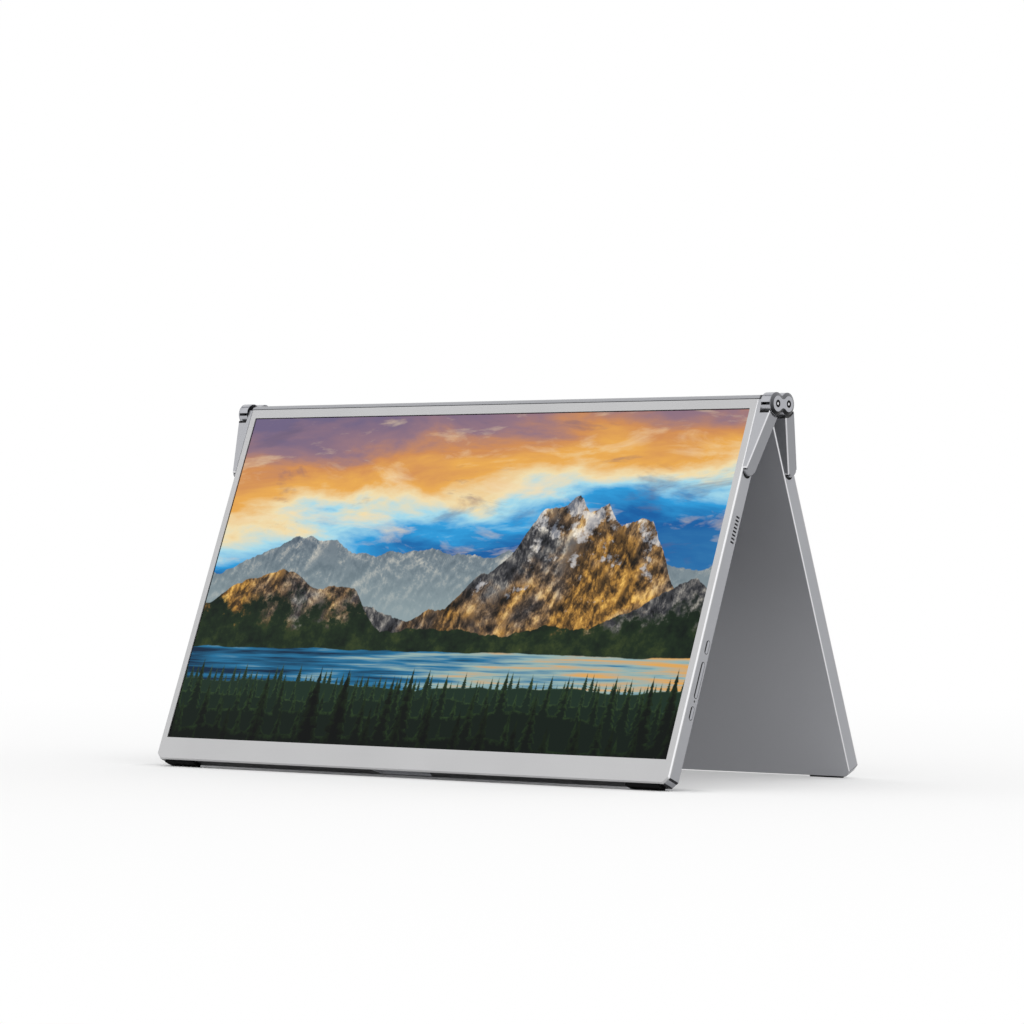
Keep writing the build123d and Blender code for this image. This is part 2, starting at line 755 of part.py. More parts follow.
def button_board():
    """Board behind the controls, with a switch for each button and the rocker's cradle."""
    panel = front_panel
    low, high = lower_button_height - button_length, upper_button_height + button_length
    narrow = button_width + 2 * button_flange
    cradle = switch_board_start - side_wall - rocker_play - rocker_axle_radius
    with BuildPart() as board:
        with BuildSketch(side_plane(panel, inward=switch_board_start)):
            with Locations(on_side((low + high) / 2, (backlight_front + backlight_thickness + cavity_floor) / 2)):
                Rectangle(high - low, cavity_floor - backlight_front - backlight_thickness - 2 * fit_gap)
        extrude(amount=-board_thickness)
        with BuildSketch(side_plane(panel, inward=switch_board_start)):
            for height in button_heights:
                with Locations(on_side(height, control_depth)):
                    Rectangle(switch_size, switch_size)
        extrude(amount=switch_height - seat_gap)
        with BuildSketch(side_plane(panel, inward=switch_board_start)):
            for end in (-1, 1):
                with Locations(on_side(rocker_height + end * (rocker_length - switch_size) / 2, control_depth)):
                    Rectangle(switch_size, narrow)
        extrude(amount=switch_board_start - side_wall - 2 * rocker_play - rocker_axle_radius)
        with BuildSketch(side_plane(panel, inward=switch_board_start)):
            with Locations(on_side(rocker_height, control_depth)):
                Rectangle(switch_size, narrow)
        extrude(amount=cradle - seat_gap)
        with BuildSketch(rocker_axle_plane()):
            Circle(rocker_axle_radius + running_gap)
        extrude(amount=narrow, both=True, mode=Mode.SUBTRACT)
        with BuildSketch(side_plane(panel, inward=switch_board_start)):
            with Locations(on_side(light_height, control_depth)):
                Rectangle(switch_size / 2, switch_size / 2)
        extrude(amount=switch_height - seat_gap)
    return board.part


def status_light():
    """Clear light pipe through the side wall, from the board's LED."""
    panel = front_panel
    with BuildPart() as pipe:
        with BuildSketch(side_plane(panel, inward=side_wall + seat_gap)):
            with Locations(on_side(light_height, control_depth)):
                Circle(light_radius)
        extrude(amount=side_wall + seat_gap)
        with BuildSketch(side_plane(panel, inward=side_wall + seat_gap)):
            with Locations(on_side(light_height, control_depth)):
                RegularPolygon(light_flange_radius, screw_sides)
        extrude(amount=switch_height + side_wall + 2 * seat_gap - switch_board_start)
    return pipe.part


def speakers(panel):
    """Two slim box speakers behind the sound slots."""
    with BuildPart() as pair:
        with BuildSketch(panel.offset(seat_gap - cavity_floor)):
            reach = cavity_half_width - fit_gap - speaker_reach / 2
            with Locations((reach, slot_height), (-reach, slot_height)):
                Rectangle(speaker_reach, speaker_length)
        extrude(amount=speaker_height)
        chamfer(pair.edges().filter_by(Axis(panel.origin, panel.z_dir)), speaker_height / 4)
    return pair.part


def usb_ports():
    """Two USB-C receptacles: a rounded skin, open at the panel's side, round a flat tongue."""
    panel = front_panel
    with BuildPart() as ports:
        for height in usb_heights:
            place = on_left_side(height, usb_depth)
            with BuildSketch(left_side_plane(panel, inward=port_sunk + port_length)):
                with Locations(place):
                    SlotOverall(usb_width, usb_thickness)
            extrude(amount=port_length)
            with BuildSketch(left_side_plane(panel, inward=port_sunk + port_length - port_skin)):
                with BuildSketch(mode=Mode.PRIVATE) as mouth:
                    Rectangle(usb_width - 2 * port_skin, usb_thickness - 2 * port_skin)
                    chamfer(mouth.vertices(), usb_thickness / 3)
                with Locations(place):
                    add(mouth.sketch)
            extrude(amount=port_length, mode=Mode.SUBTRACT)
            with BuildSketch(left_side_plane(panel, inward=port_sunk + port_length - port_skin)):
                with Locations(place):
                    Rectangle(usb_width - usb_thickness, tongue_thickness)
            extrude(amount=port_length * 2 / 3)
    return ports.part


def hdmi_port():
    """Mini HDMI receptacle with its two slanted lower corners."""
    panel = front_panel
    place = on_left_side(hdmi_height, hdmi_depth)
    with BuildPart() as port:
        for inset, mode in ((0.0, Mode.ADD), (port_skin, Mode.SUBTRACT)):
            with BuildSketch(left_side_plane(panel, inward=port_sunk + port_length - inset)):
                with BuildSketch(mode=Mode.PRIVATE) as section:
                    Rectangle(hdmi_width - 2 * inset, hdmi_thickness - 2 * inset)
                    chamfer(section.vertices().group_by(Axis.Y)[0], hdmi_thickness / 3 - inset / 2)
                with Locations(place):
                    add(section.sketch)
            extrude(amount=port_length, mode=mode)
        with BuildSketch(left_side_plane(panel, inward=port_sunk + port_length - port_skin)):
            with Locations(place):
                Rectangle(hdmi_width * 2 / 3, tongue_thickness)
        extrude(amount=port_length * 2 / 3)
    return port.part


def audio_jack():
    """Headphone socket: a block with a blind round bore."""
    panel = front_panel
    place = on_left_side(jack_height, jack_depth)
    with BuildPart() as jack:
        with BuildSketch(left_side_plane(panel, inward=side_wall + jack_length)):
            with Locations(place):
                Rectangle(jack_width, jack_body)
        extrude(amount=jack_length - fit_gap)
        with BuildSketch(left_side_plane(panel, inward=side_wall + fit_gap)):
            with Locations(place):
                Circle(jack_bore_radius)
        extrude(amount=side_wall - jack_length, mode=Mode.SUBTRACT)
    return jack.part


# Boards: middle along the panel, and the chips as offsets and sizes
controller_middle = controller_width / 2 + fit_gap - cavity_half_width
controller_chips = ((12, 4, 14, 14), (-8, 22, 9, 9), (-4, -20, 8, 6), (24, -18, 10, 5))
driver_chips = ((0, 0, 12, 8), (-34, 2, 7, 7), (34, 2, 7, 7))
boards = {"front": ("controller_board", controller_low, controller_high, controller_middle,
                    controller_width, controller_chips),
          "rear": ("driver_board", driver_low, driver_high, 0.0, driver_width, driver_chips)}
openings = {"front": side_openings(front_panel), "rear": None}

for row, panel in panels.items():
    board_name, low, high, middle, width, chips = boards[row]
    corners = board_corners(low, high, middle, width)
    arm_screw_tip = leaf_depth + leaf_thickness + screw_bite - seat_gap
    board_screw_tip = cavity_floor + back_wall / 2 - seat_gap
    write(f"{row}_back_shell", back_shell(panel, corners, openings[row]))
    write(f"{row}_bezel", bezel(panel))
    write(f"{row}_display", display(panel))
    write(f"{row}_backlight", backlight(panel))
    write(f"{row}_feet", feet(panel))
    write(f"{row}_arm_screws", screws(panel, screw_places(), leaf_depth, arm_screw_tip,
                                      screw_radius, screw_head_radius, screw_head_height))
    write(f"{row}_{board_name}", circuit_board(panel, low, high, middle, width, chips))
    write(f"{row}_board_screws", screws(panel, corners, board_depth, board_screw_tip,
                                        board_screw_radius, board_screw_head_radius, board_screw_head_height))

write("front_speakers", speakers(front_panel))
write("usb_ports", usb_ports())
write("hdmi_port", hdmi_port())
write("audio_jack", audio_jack())
write("menu_button", side_button(upper_button_height))
write("power_button", side_button(lower_button_height))
write("rocker", rocker())
write("button_board", button_board())
write("status_light", status_light())

write_pair("hinge_caps", hinge_cap())
write_pair("barrels_upper", barrel_half(1))
write_pair("barrels_lower", barrel_half(-1))
write_pair("link_plates", link_plate())
write_pair("front_axles", axle())
write_pair("rear_axles", mirrored(axle(), Plane.XZ))
write_left_and_right("friction_washers", friction_washers())
write_left_and_right("front_gear", sync_gear(-1, 0.0))
write_left_and_right("rear_gear", sync_gear(1, pi + pi / gear_teeth))
write_left_and_right("front_arm", hinge_arm())
write_left_and_right("rear_arm", mirrored(hinge_arm(), Plane.XZ))
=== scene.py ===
"""Looks of the dual portable monitor: two bead-blasted aluminium panels on a geared dual-axis hinge.

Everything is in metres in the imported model's frame: X along the hinge, the front screen faces -Y, Z up.
A panel's own measures are u along the panel, v up the panel from the hinge axis, and w into the panel
from the screen face. New pieces are surfaces worked out with numpy, and every finish is procedural.
"""
import json
from math import acos, asin, atan2, cos, pi, radians, sin, sqrt

import bmesh
import bpy
import numpy as np
from mathutils import Matrix, Vector


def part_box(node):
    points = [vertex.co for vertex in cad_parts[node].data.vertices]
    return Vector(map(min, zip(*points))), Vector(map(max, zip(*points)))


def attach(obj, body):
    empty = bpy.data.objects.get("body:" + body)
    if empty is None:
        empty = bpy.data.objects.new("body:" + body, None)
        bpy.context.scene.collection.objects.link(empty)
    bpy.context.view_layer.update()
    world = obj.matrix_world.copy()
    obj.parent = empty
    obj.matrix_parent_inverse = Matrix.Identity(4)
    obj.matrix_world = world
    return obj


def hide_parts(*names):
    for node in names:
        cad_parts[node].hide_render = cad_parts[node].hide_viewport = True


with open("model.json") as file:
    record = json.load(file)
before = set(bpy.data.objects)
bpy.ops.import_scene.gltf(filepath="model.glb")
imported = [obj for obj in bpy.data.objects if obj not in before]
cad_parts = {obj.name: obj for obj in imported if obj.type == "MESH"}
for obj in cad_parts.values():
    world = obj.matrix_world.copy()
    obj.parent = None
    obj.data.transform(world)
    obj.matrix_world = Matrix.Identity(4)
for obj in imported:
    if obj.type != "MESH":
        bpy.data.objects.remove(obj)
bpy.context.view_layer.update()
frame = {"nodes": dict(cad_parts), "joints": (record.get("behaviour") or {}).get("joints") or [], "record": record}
nodes = frame["nodes"]
joints = {joint["name"]: joint for joint in frame["joints"]}
MM = 0.001

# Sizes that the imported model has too, in millimetres; the slit is drawn 0.4 mm wider, so that its shade shows
active_width, active_height = 344.16, 193.59
panel_thickness = 9.4
half_width = 176.85
screen_top_margin = 4.8
pin_height = 211.6
lobe_radius, waist_blend = 6.0, 1.7
barrel_slit, housing_wall = 1.5, 0.45
barrel_start, cap_start, housing_end = 179.25, 184.95, 186.25
cap_recess_radius, cap_recess_depth = 1.8, 0.5
bevel_foot, bevel_head = (housing_end - 0.95, 0.0), (housing_end, 1.85)
axle_end_radius = 1.3
button_proud, button_width, control_depth = 0.1, 2.6, 6.1
edge_chamfer, back_chamfer = 0.7, 0.5
pocket_depth, pocket_inset, pocket_end, corner_cut = 0.7, 0.95, 42.1, 3.4
arm_hollow_radius, arm_hollow_foot, arm_hollow_end, arm_strip_end = 7.6, 7.0, 184.9, 179.1
arm_front_inset, arm_back_inset, arm_chamfer = 0.2, 0.8, 0.6
foot_length, foot_width, foot_from_side, foot_depth = 22.0, 6.5, 6.0, 1.5
foot_proud, foot_sunk = 1.4, 0.75

# Sizes of the fine detail that only this script draws, in millimetres and degrees
cap_face_inset, cap_rim_step, foot_corner = 1.9, 0.15, 0.9
groove_at, groove_foot, groove_edge, groove_clear, groove_depth = 44, 1.9, 2.4, 3.2, 0.28
wall_soft, fine_gap = 0.12, 0.02
# The pin end's bare steel centre reaches the second size below; round it is black painted shade
pin_end_start, pin_bright_radius = housing_end - 0.9, 0.95
# How far a button's black painted shade reaches in from its front edge and up from its lower end, and how thick its
# metal skin is
shade_margin_front, shade_margin_low, cap_skin = 0.6, 0.5, 0.06
# How far the painted shade reaches up a panel's bottom edge, and in from its side at the corner cuts
base_band, corner_band = 0.6, 1.0
hair = 0.03     # how far a material zone's limit stays from the face that it ends beside
beyond = 1000   # the limit of a zone's side that has none: past every part of the object

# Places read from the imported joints, and where the housing's lobes and waists meet
axle_point = {"front": Vector(joints["front_hinge"]["pos_m"]), "rear": Vector(joints["rear_hinge"]["pos_m"])}
axis_height = axle_point["front"].z
half_spacing = axle_point["rear"].y / MM
waist_rise = sqrt((lobe_radius + waist_blend) ** 2 - half_spacing ** 2)
lobe_end = atan2(waist_rise, -half_spacing)
lean = -asin(joints["rocker_tip"]["axis"][2])
panel_axes = {
    "front": ((1, 0, 0), (0, sin(lean), cos(lean)), (0, -cos(lean), sin(lean))),
    "rear": ((-1, 0, 0), (0, -sin(lean), cos(lean)), (0, cos(lean), sin(lean))),
}


# ---------------------------------------------------------------- surfaces

def on_panel(side, u, v, w):
    """Points of a panel from its own measures: axle point + u right + v up + (half thickness - w) out of the screen."""
    right, up, out = (np.array(axis, float) for axis in panel_axes[side])
    u, v, w = np.broadcast_arrays(np.asarray(u, float), v, w)
    return (np.array(axle_point[side]) + MM * (u[..., None] * right + v[..., None] * up
                                               + (panel_thickness / 2 - w)[..., None] * out))


def grid_quads(rows, columns, first):
    """Vertex numbers of the quads between neighbouring rows and columns of a grid."""
    row, column = np.meshgrid(np.arange(rows - 1), np.arange(columns - 1), indexing="ij")
    corner = first + row * columns + column
    return np.stack([corner, corner + 1, corner + columns + 1, corner + columns], axis=-1).reshape(-1, 4)


def make_piece(name, sheets, smooth_below=32):
    """One mesh from several grids of points, joined where their edges meet, its faces turned outwards."""
    points, quads, count = [], [], 0
    for sheet in sheets:
        rows, columns = sheet.shape[:2]
        points.append(sheet.reshape(-1, 3))
        quads.append(grid_quads(rows, columns, count))
        count += rows * columns
    mesh = bpy.data.meshes.new(name)
    mesh.from_pydata(np.concatenate(points).tolist(), [], np.concatenate(quads).tolist())
    shape = bmesh.new()
    shape.from_mesh(mesh)
    bmesh.ops.remove_doubles(shape, verts=shape.verts, dist=2e-6)
    bmesh.ops.recalc_face_normals(shape, faces=shape.faces)
    shape.to_mesh(mesh)
    shape.free()
    mesh.shade_smooth()
    mesh.set_sharp_from_angle(angle=radians(smooth_below))
    piece = bpy.data.objects.new(name, mesh)
    bpy.context.scene.collection.objects.link(piece)
    return piece


def rounded_corner(corner, start, end, radius, steps=4):
    """Points of a fillet in a profile: a quarter-like arc about the corner, from the start side to the end side."""
    corner, start, end = (np.array(point, float) for point in (corner, start, end))
    a, b = (start - corner) / np.linalg.norm(start - corner), (end - corner) / np.linalg.norm(end - corner)
    half = acos(float(np.clip(a @ b, -1, 1))) / 2
    reach = radius / np.tan(half)
    middle = corner + (a + b) / np.linalg.norm(a + b) * radius / sin(half)
    first, last = corner + a * reach - middle, corner + b * reach - middle
    turn = np.linspace(0, 1, steps + 1)[:, None]
    arc = np.sin((1 - turn) * (pi - 2 * half)) * first + np.sin(turn * (pi - 2 * half)) * last
    return middle + arc / sin(pi - 2 * half)


def rounded_profile(points, radii, steps=4):
    """An open profile of straight runs whose inner corners are rounded by the given radii."""
    parts = [np.array(points[:1], float)]
    for before, corner, after, radius in zip(points, points[1:], points[2:], radii):
        parts.append(rounded_corner(corner, before, after, radius, steps))
    return np.concatenate(parts + [np.array(points[-1:], float)])


def housing_outline(lobe_steps=65, waist_steps=15):
    """The hinge housing's outline and its outward normals in (y, z): an arc of each lobe between the two
    waist arcs, which bend the other way and touch the lobes where the line between their centres crosses."""
    lobe = np.linspace(-lobe_end, lobe_end, lobe_steps)[:-1]
    waist = np.linspace(lobe_end - pi, -lobe_end, waist_steps)[:-1]
    parts = []
    for turn in (0.0, pi):
        away = np.stack([np.cos(lobe + turn), np.sin(lobe + turn)], axis=-1)
        middle = half_spacing * np.array([cos(turn), sin(turn)])
        parts.append((middle + lobe_radius * away, away))
        toward = np.stack([np.cos(waist + turn), np.sin(waist + turn)], axis=-1)
        middle = waist_rise * np.array([-sin(turn), cos(turn)])
        parts.append((middle + waist_blend * toward, -toward))
    return np.concatenate([part[0] for part in parts]), np.concatenate([part[1] for part in parts])


def across(side, x, flat):
    """Points of a section square to the hinge, carried to a place along X on the right (1) or left (-1) side."""
    x, flat = np.asarray(x, float), np.asarray(flat, float)
    return np.stack(np.broadcast_arrays(side * x * MM, flat[..., 0] * MM, flat[..., 1] * MM + axis_height), axis=-1)


def hinge_caps():
    """The end caps' rims and flat ends, and the recesses round the axles. The rims are rings of the outline, each
    moved in by the profile's second number. The flat ends run from the outline's halves in to a circle round each
    axle, and a recess is the circle's own profile."""
    outline, normal = housing_outline()
    loop = np.append(np.arange(len(outline)), 0)
    rims = (rounded_profile([(cap_start, cap_rim_step), (cap_start + cap_rim_step, 0.0), bevel_foot], (0.08,)),
            np.array([bevel_head, (housing_end, cap_face_inset)]))
    bore = rounded_profile([(housing_end, cap_recess_radius + 0.2), (housing_end, cap_recess_radius),
                            (housing_end - cap_recess_depth, cap_recess_radius),
                            (housing_end - cap_recess_depth, axle_end_radius + 0.05),
                            (cap_start, axle_end_radius + 0.05)], (0.1, 0.08, 0.02))
    sheets, recesses = [], []
    for side in (1, -1):
        for rim in rims:
            flat = outline[loop][None] - rim[:, 1][:, None, None] * normal[loop][None]
            sheets.append(across(side, rim[:, 0][:, None], flat))
        for inset, x, ring in ((cap_face_inset, housing_end, bore[0, 1]), (cap_rim_step, cap_start, bore[-1, 1])):
            edge = outline - inset * normal
            for lobe in (1, -1):
                order = np.where(lobe * edge[:, 0] >= -1e-9)[0]
                angle = np.arctan2(edge[order, 1], lobe * edge[order, 0])
                half = edge[order[np.argsort(angle)]]
                seam = np.linspace(half[-1], half[0], 9)[1:]
                axle = (lobe * half_spacing, 0)
                half = np.concatenate([half, seam]) - axle
                reach = np.linalg.norm(half, axis=1, keepdims=True)
                blend_in = np.linspace(0, 1, 5)[:, None, None]
                face = half / reach * (reach + blend_in * (ring - reach)) + axle
                sheets.append(across(side, x, face))
                if x == housing_end:
                    hole = half / reach * bore[:, 1][:, None, None] + axle
                    recesses.append(across(side, bore[:, 0][:, None], hole))
    return make_piece("housing_caps_turned", sheets), make_piece("cap_recesses_bored", recesses)


def cap_bevels():
    """The cut bevels of the end caps: a straight slope between two softly rounded edges, carried round the outline."""
    outline, normal = housing_outline()
    loop = np.append(np.arange(len(outline)), 0)
    slope = rounded_profile([bevel_foot, (housing_end - 0.8, 0.0), (housing_end, 1.7), bevel_head], (0.12, 0.12))
    flat = outline[loop][None] - slope[:, 1][:, None, None] * normal[loop][None]
    return make_piece("cap_bevels_cut", [across(side, slope[:, 0][:, None], flat) for side in (1, -1)], 50)


def barrel_path(half):
    """The upper (1) or lower (-1) half of the outline from front to rear, its outward normals, and how deep a fine
    groove is cut at each point: one groove along the top of each lobe, on the upper half only."""
    turn, sunk = np.linspace(asin(barrel_slit / 2 / lobe_radius), lobe_end, 40), np.zeros(40)
    if half == 1:
        groove = radians(groove_at) + np.radians([-groove_edge, -groove_foot, groove_foot, groove_edge])
        away_from_groove = np.abs(turn - radians(groove_at)) > radians(groove_clear)
        turn = np.concatenate([turn[away_from_groove], groove])
        sunk = np.concatenate([sunk[away_from_groove], [0.0, groove_depth, groove_depth, 0.0]])
        order = np.argsort(turn)
        turn, sunk = turn[order], sunk[order]
    lobe = np.stack([np.cos(turn), np.sin(turn)], axis=-1)
    waist = np.linspace(-lobe_end, lobe_end - pi, 15)[1:-1]
    toward = np.stack([np.cos(waist), np.sin(waist)], axis=-1)
    mirrored = lobe * (-1, 1)
    path = np.concatenate([(-half_spacing, 0) + lobe_radius * mirrored, (0, waist_rise) + waist_blend * toward,
                           (half_spacing, 0) + lobe_radius * lobe[::-1]])
    out = np.concatenate([mirrored, -toward, lobe[::-1]])
    sunk = np.concatenate([sunk, np.zeros(len(waist)), sunk[::-1]])
    return path * (1, half), out * (1, half), sunk


def hinge_barrels():
    """The housing's two half shells: the wall's rounded rectangle carried along the upper or lower half of the outline.
    In the groove the wall's outer side comes in and its inner side stays."""
    x0, x1 = barrel_start + fine_gap, cap_start
    wall = rounded_profile([((x0 + x1) / 2, 0), (x0, 0), (x0, housing_wall), (x1, housing_wall), (x1, 0),
                            ((x0 + x1) / 2, 0)], (wall_soft,) * 4, steps=3)
    sheets = []
    for half in (1, -1):
        path, out, sunk = barrel_path(half)
        depth = sunk[:, None] + wall[:, 1][None, :] * (1 - sunk[:, None] / housing_wall)
        flat = path[:, None] - depth[..., None] * out[:, None]
        for side in (1, -1):
            skin = across(side, wall[:, 0][None, :], flat)
            sheets.append(skin)
            for end in (skin[:1], skin[-1:]):
                sheets.append(np.concatenate([end, np.broadcast_to(end.mean(axis=1, keepdims=True), end.shape)]))
    return make_piece("housing_barrels_milled", sheets)


def axle_ends(side):
    """Domed pin ends in the caps: a low dome's profile turned once round the axle."""
    radius = axle_end_radius - fine_gap
    profile = rounded_profile([(pin_end_start, radius), (housing_end - 0.12, radius),
                               (housing_end - 0.02, 0.5), (housing_end, 0.0)], (0.25, 0.3), steps=5)
    profile = np.concatenate([[(pin_end_start, 0.0)], profile])
    turn = np.linspace(0, 2 * pi, 49)
    ring = np.stack([np.cos(turn), np.sin(turn)], axis=-1)
    flat = profile[:, 1][:, None, None] * ring[None] + (axle_point[side].y / MM, 0)
    return make_piece(f"{side}_pin_ends", [across(hand, profile[:, 0][:, None], flat) for hand in (1, -1)])


def rubber_feet(side):
    """Two moulded strips: a rounded rectangle carried down a profile that rounds over into a slightly domed sole."""
    quarter = np.linspace(0, pi / 2, 7)
    outline, normal = [], []
    for index, (sx, sy) in enumerate(((1, 1), (-1, 1), (-1, -1), (1, -1))):
        away = np.stack([np.cos(quarter + index * pi / 2), np.sin(quarter + index * pi / 2)], axis=-1)
        middle = (sx * (foot_length / 2 - foot_corner), sy * (foot_width / 2 - foot_corner))
        outline.append(middle + foot_corner * away)
        normal.append(away)
    outline, normal = np.concatenate(outline + [outline[0][:1]]), np.concatenate(normal + [normal[0][:1]])
    profile = rounded_profile([(-foot_sunk, 0.0), (foot_proud - 0.1, 0.0), (foot_proud, 0.5), (foot_proud, 0.8)],
                              (0.25, 0.1), steps=4)
    sheets, depth = [], foot_depth + foot_width / 2
    for hand in (1, -1):
        middle = hand * (half_width - foot_from_side - foot_length / 2)
        flat = outline[None] - profile[:, 1][:, None, None] * normal[None]
        height = np.broadcast_to(profile[:, 0][:, None], flat.shape[:2])
        spine = np.clip(flat[-1, :, 0], -foot_length / 2 + foot_width / 2, foot_length / 2 - foot_width / 2)
        for ring, level in ((flat[-1], foot_proud), (flat[0], -foot_sunk)):
            share = np.linspace(0, 1, 3)[:, None]
            across_sole = ring[None, :, 1] * (1 - share)
            along_sole = ring[None, :, 0] * (1 - share) + spine[None] * share
            sheets.append(on_panel(side, middle + along_sole, -pin_height - level, depth - across_sole))
        sheets.append(on_panel(side, middle + flat[..., 0], -pin_height - height, depth - flat[..., 1]))
    return make_piece(f"{side}_rubber_strips", sheets)


# ---------------------------------------------------------------- finishes

metallic_sheen = 0.72   # how metallic anodised aluminium looks: the oxide layer takes the rest


def linear(code):
    """An sRGB hex colour as linear red, green, blue and 1."""
    parts = [int(code[i:i + 2], 16) / 255 for i in (0, 2, 4)]
    return tuple(c / 12.92 if c <= 0.04045 else ((c + 0.055) / 1.055) ** 2.4 for c in parts) + (1.0,)


def add(tree, kind, inputs=(), stops=None, **settings):
    """Adds one node: its settings, its sockets' numbers or links (a node stands for its first output), and the
    colours of a ramp."""
    node = tree.nodes.new("ShaderNode" + kind)
    for name, value in settings.items():
        setattr(node, name, value)
    for key, value in (inputs.items() if isinstance(inputs, dict) else enumerate(inputs)):
        if isinstance(value, bpy.types.Node):
            value = value.outputs[0]
        if isinstance(value, bpy.types.NodeSocket):
            tree.links.new(value, node.inputs[key])
        elif value is not None:
            node.inputs[key].default_value = value
    if stops:
        ramp = node.color_ramp
        while len(ramp.elements) < len(stops):
            ramp.elements.new(1.0)
        for element, (place, code) in zip(ramp.elements, stops):
            element.position, element.color = place, linear(code)
    return node


def blend(tree, factor, below, above):
    """A mix of two colours, each a linear colour or a link."""
    return add(tree, "Mix", {"Factor": factor, 6: below, 7: above}, data_type="RGBA").outputs[2]


def new_material(name, **sockets):
    """An empty material with its shader, the shader's constant sockets set, and the object's own coordinates."""
    material = bpy.data.materials.new(name)
    material.use_nodes = True
    tree = material.node_tree
    tree.nodes.clear()
    shader = add(tree, "BsdfPrincipled")
    for key, value in sockets.items():
        shader.inputs[key.replace("_", " ")].default_value = value
    add(tree, "OutputMaterial", (shader,))
    return material, tree, shader, add(tree, "TexCoord").outputs["Object"]


def shades(colour, dark, light):
    """Two linear colours: one colour times a darker and a lighter share, none brighter than white."""
    return [tuple(min(1.0, part * share) for part in linear(colour)[:3]) + (1.0,) for share in (dark, light)]


def zoned(tree, place, tint, zones):
    """A colour with each zone's own colour laid over it inside the zone."""
    for mask, code in zones:
        tint = blend(tree, mask(tree, place), tint, linear(code))
    return tint


def directly_seen(tree):
    """1 for camera, mirror and see-through rays, and 0 for the rays that carry light between matt surfaces."""
    rays = add(tree, "LightPath")
    seen = add(tree, "Math", (rays.outputs["Is Camera Ray"], rays.outputs["Is Glossy Ray"]), operation="MAXIMUM")
    return add(tree, "Math", (seen, rays.outputs["Is Transmission Ray"]), operation="MAXIMUM")


def between(tree, value, low, high):
    """1 where a value lies between two numbers, 0 elsewhere."""
    return add(tree, "Math", (value, (low + high) / 2, (high - low) / 2), operation="COMPARE")


def panel_place(tree, place, side):
    """A point's own measures on a panel: how far from its middle, how far up from the hinge axis and how deep."""
    right, up, out = panel_axes[side]
    start = Vector(axle_point[side]) + Vector(out) * panel_thickness / 2 * MM
    place = add(tree, "VectorMath", (place, tuple(start)), operation="SUBTRACT")
    u, v, w = (add(tree, "VectorMath", (place, axis), operation="DOT_PRODUCT").outputs["Value"]
               for axis in (right, up, out))
    return add(tree, "Math", (u,), operation="ABSOLUTE"), v, add(tree, "Math", (w, -1.0), operation="MULTIPLY")


def panel_zone(side, from_middle, up, deep):
    """A zone of a panel and its mirror image: between two distances from the middle, heights and depths, in mm."""
    def mask(tree, place):
        inside = 1.0
        for reach, (low, high) in zip(panel_place(tree, place, side), (from_middle, up, deep)):
            inside = add(tree, "Math", (between(tree, reach, low * MM, high * MM), inside), operation="MULTIPLY")
        return inside
    return mask


def round_axle(side, start, end, near, far):
    """A zone round a panel's axle: between two distances from the middle of the hinge and two from the axle, in mm."""
    def mask(tree, place):
        x = add(tree, "Math", (add(tree, "SeparateXYZ", (place,)),), operation="ABSOLUTE")
        square = add(tree, "VectorMath", (place, tuple(axle_point[side])), operation="SUBTRACT")
        square = add(tree, "VectorMath", (square, (0.0, 1.0, 1.0)), operation="MULTIPLY")
        reach = add(tree, "VectorMath", (square,), operation="LENGTH").outputs["Value"]
        inside = between(tree, reach, near * MM, far * MM)
        return add(tree, "Math", (inside, between(tree, x, start * MM, end * MM)), operation="MULTIPLY")
    return mask


def panel_base_shade(side):
    """Painted shade on a panel's bottom face, behind the bezel, and on the two edges of each flat cut across its bottom
    corners.
    """
    def mask(tree, place):
        u, v, w = panel_place(tree, place, side)
        corner = add(tree, "Math", (u, v), operation="SUBTRACT")
        cut = between(tree, corner, (half_width + pin_height - corner_cut - 2 * hair) * MM, beyond * MM)
        edges = add(tree, "Math", (between(tree, u, (half_width - corner_band) * MM, beyond * MM),
                                   between(tree, v, -beyond * MM, (base_band - pin_height) * MM)),
                    operation="MAXIMUM")
        cut = add(tree, "Math", (cut, edges), operation="MULTIPLY")
        low = between(tree, v, -beyond * MM, (hair - pin_height) * MM)
        low = add(tree, "Math", (cut, low), operation="MAXIMUM")
        return add(tree, "Math", (low, between(tree, w, 0.0, (panel_thickness - back_chamfer - hair) * MM)),
                   operation="MULTIPLY")
    return mask


def painted_light_toward_top(tree, place):
    """From 0 a little under the hinge axles to 1 at the housing's top: how much painted light the cap bevels get toward
    their top.
    """
    z = add(tree, "SeparateXYZ", (place,)).outputs[2]
    return add(tree, "MapRange", {"Value": z, "From Min": axis_height - 3.5 * MM,
                                  "From Max": axis_height + lobe_radius * MM})


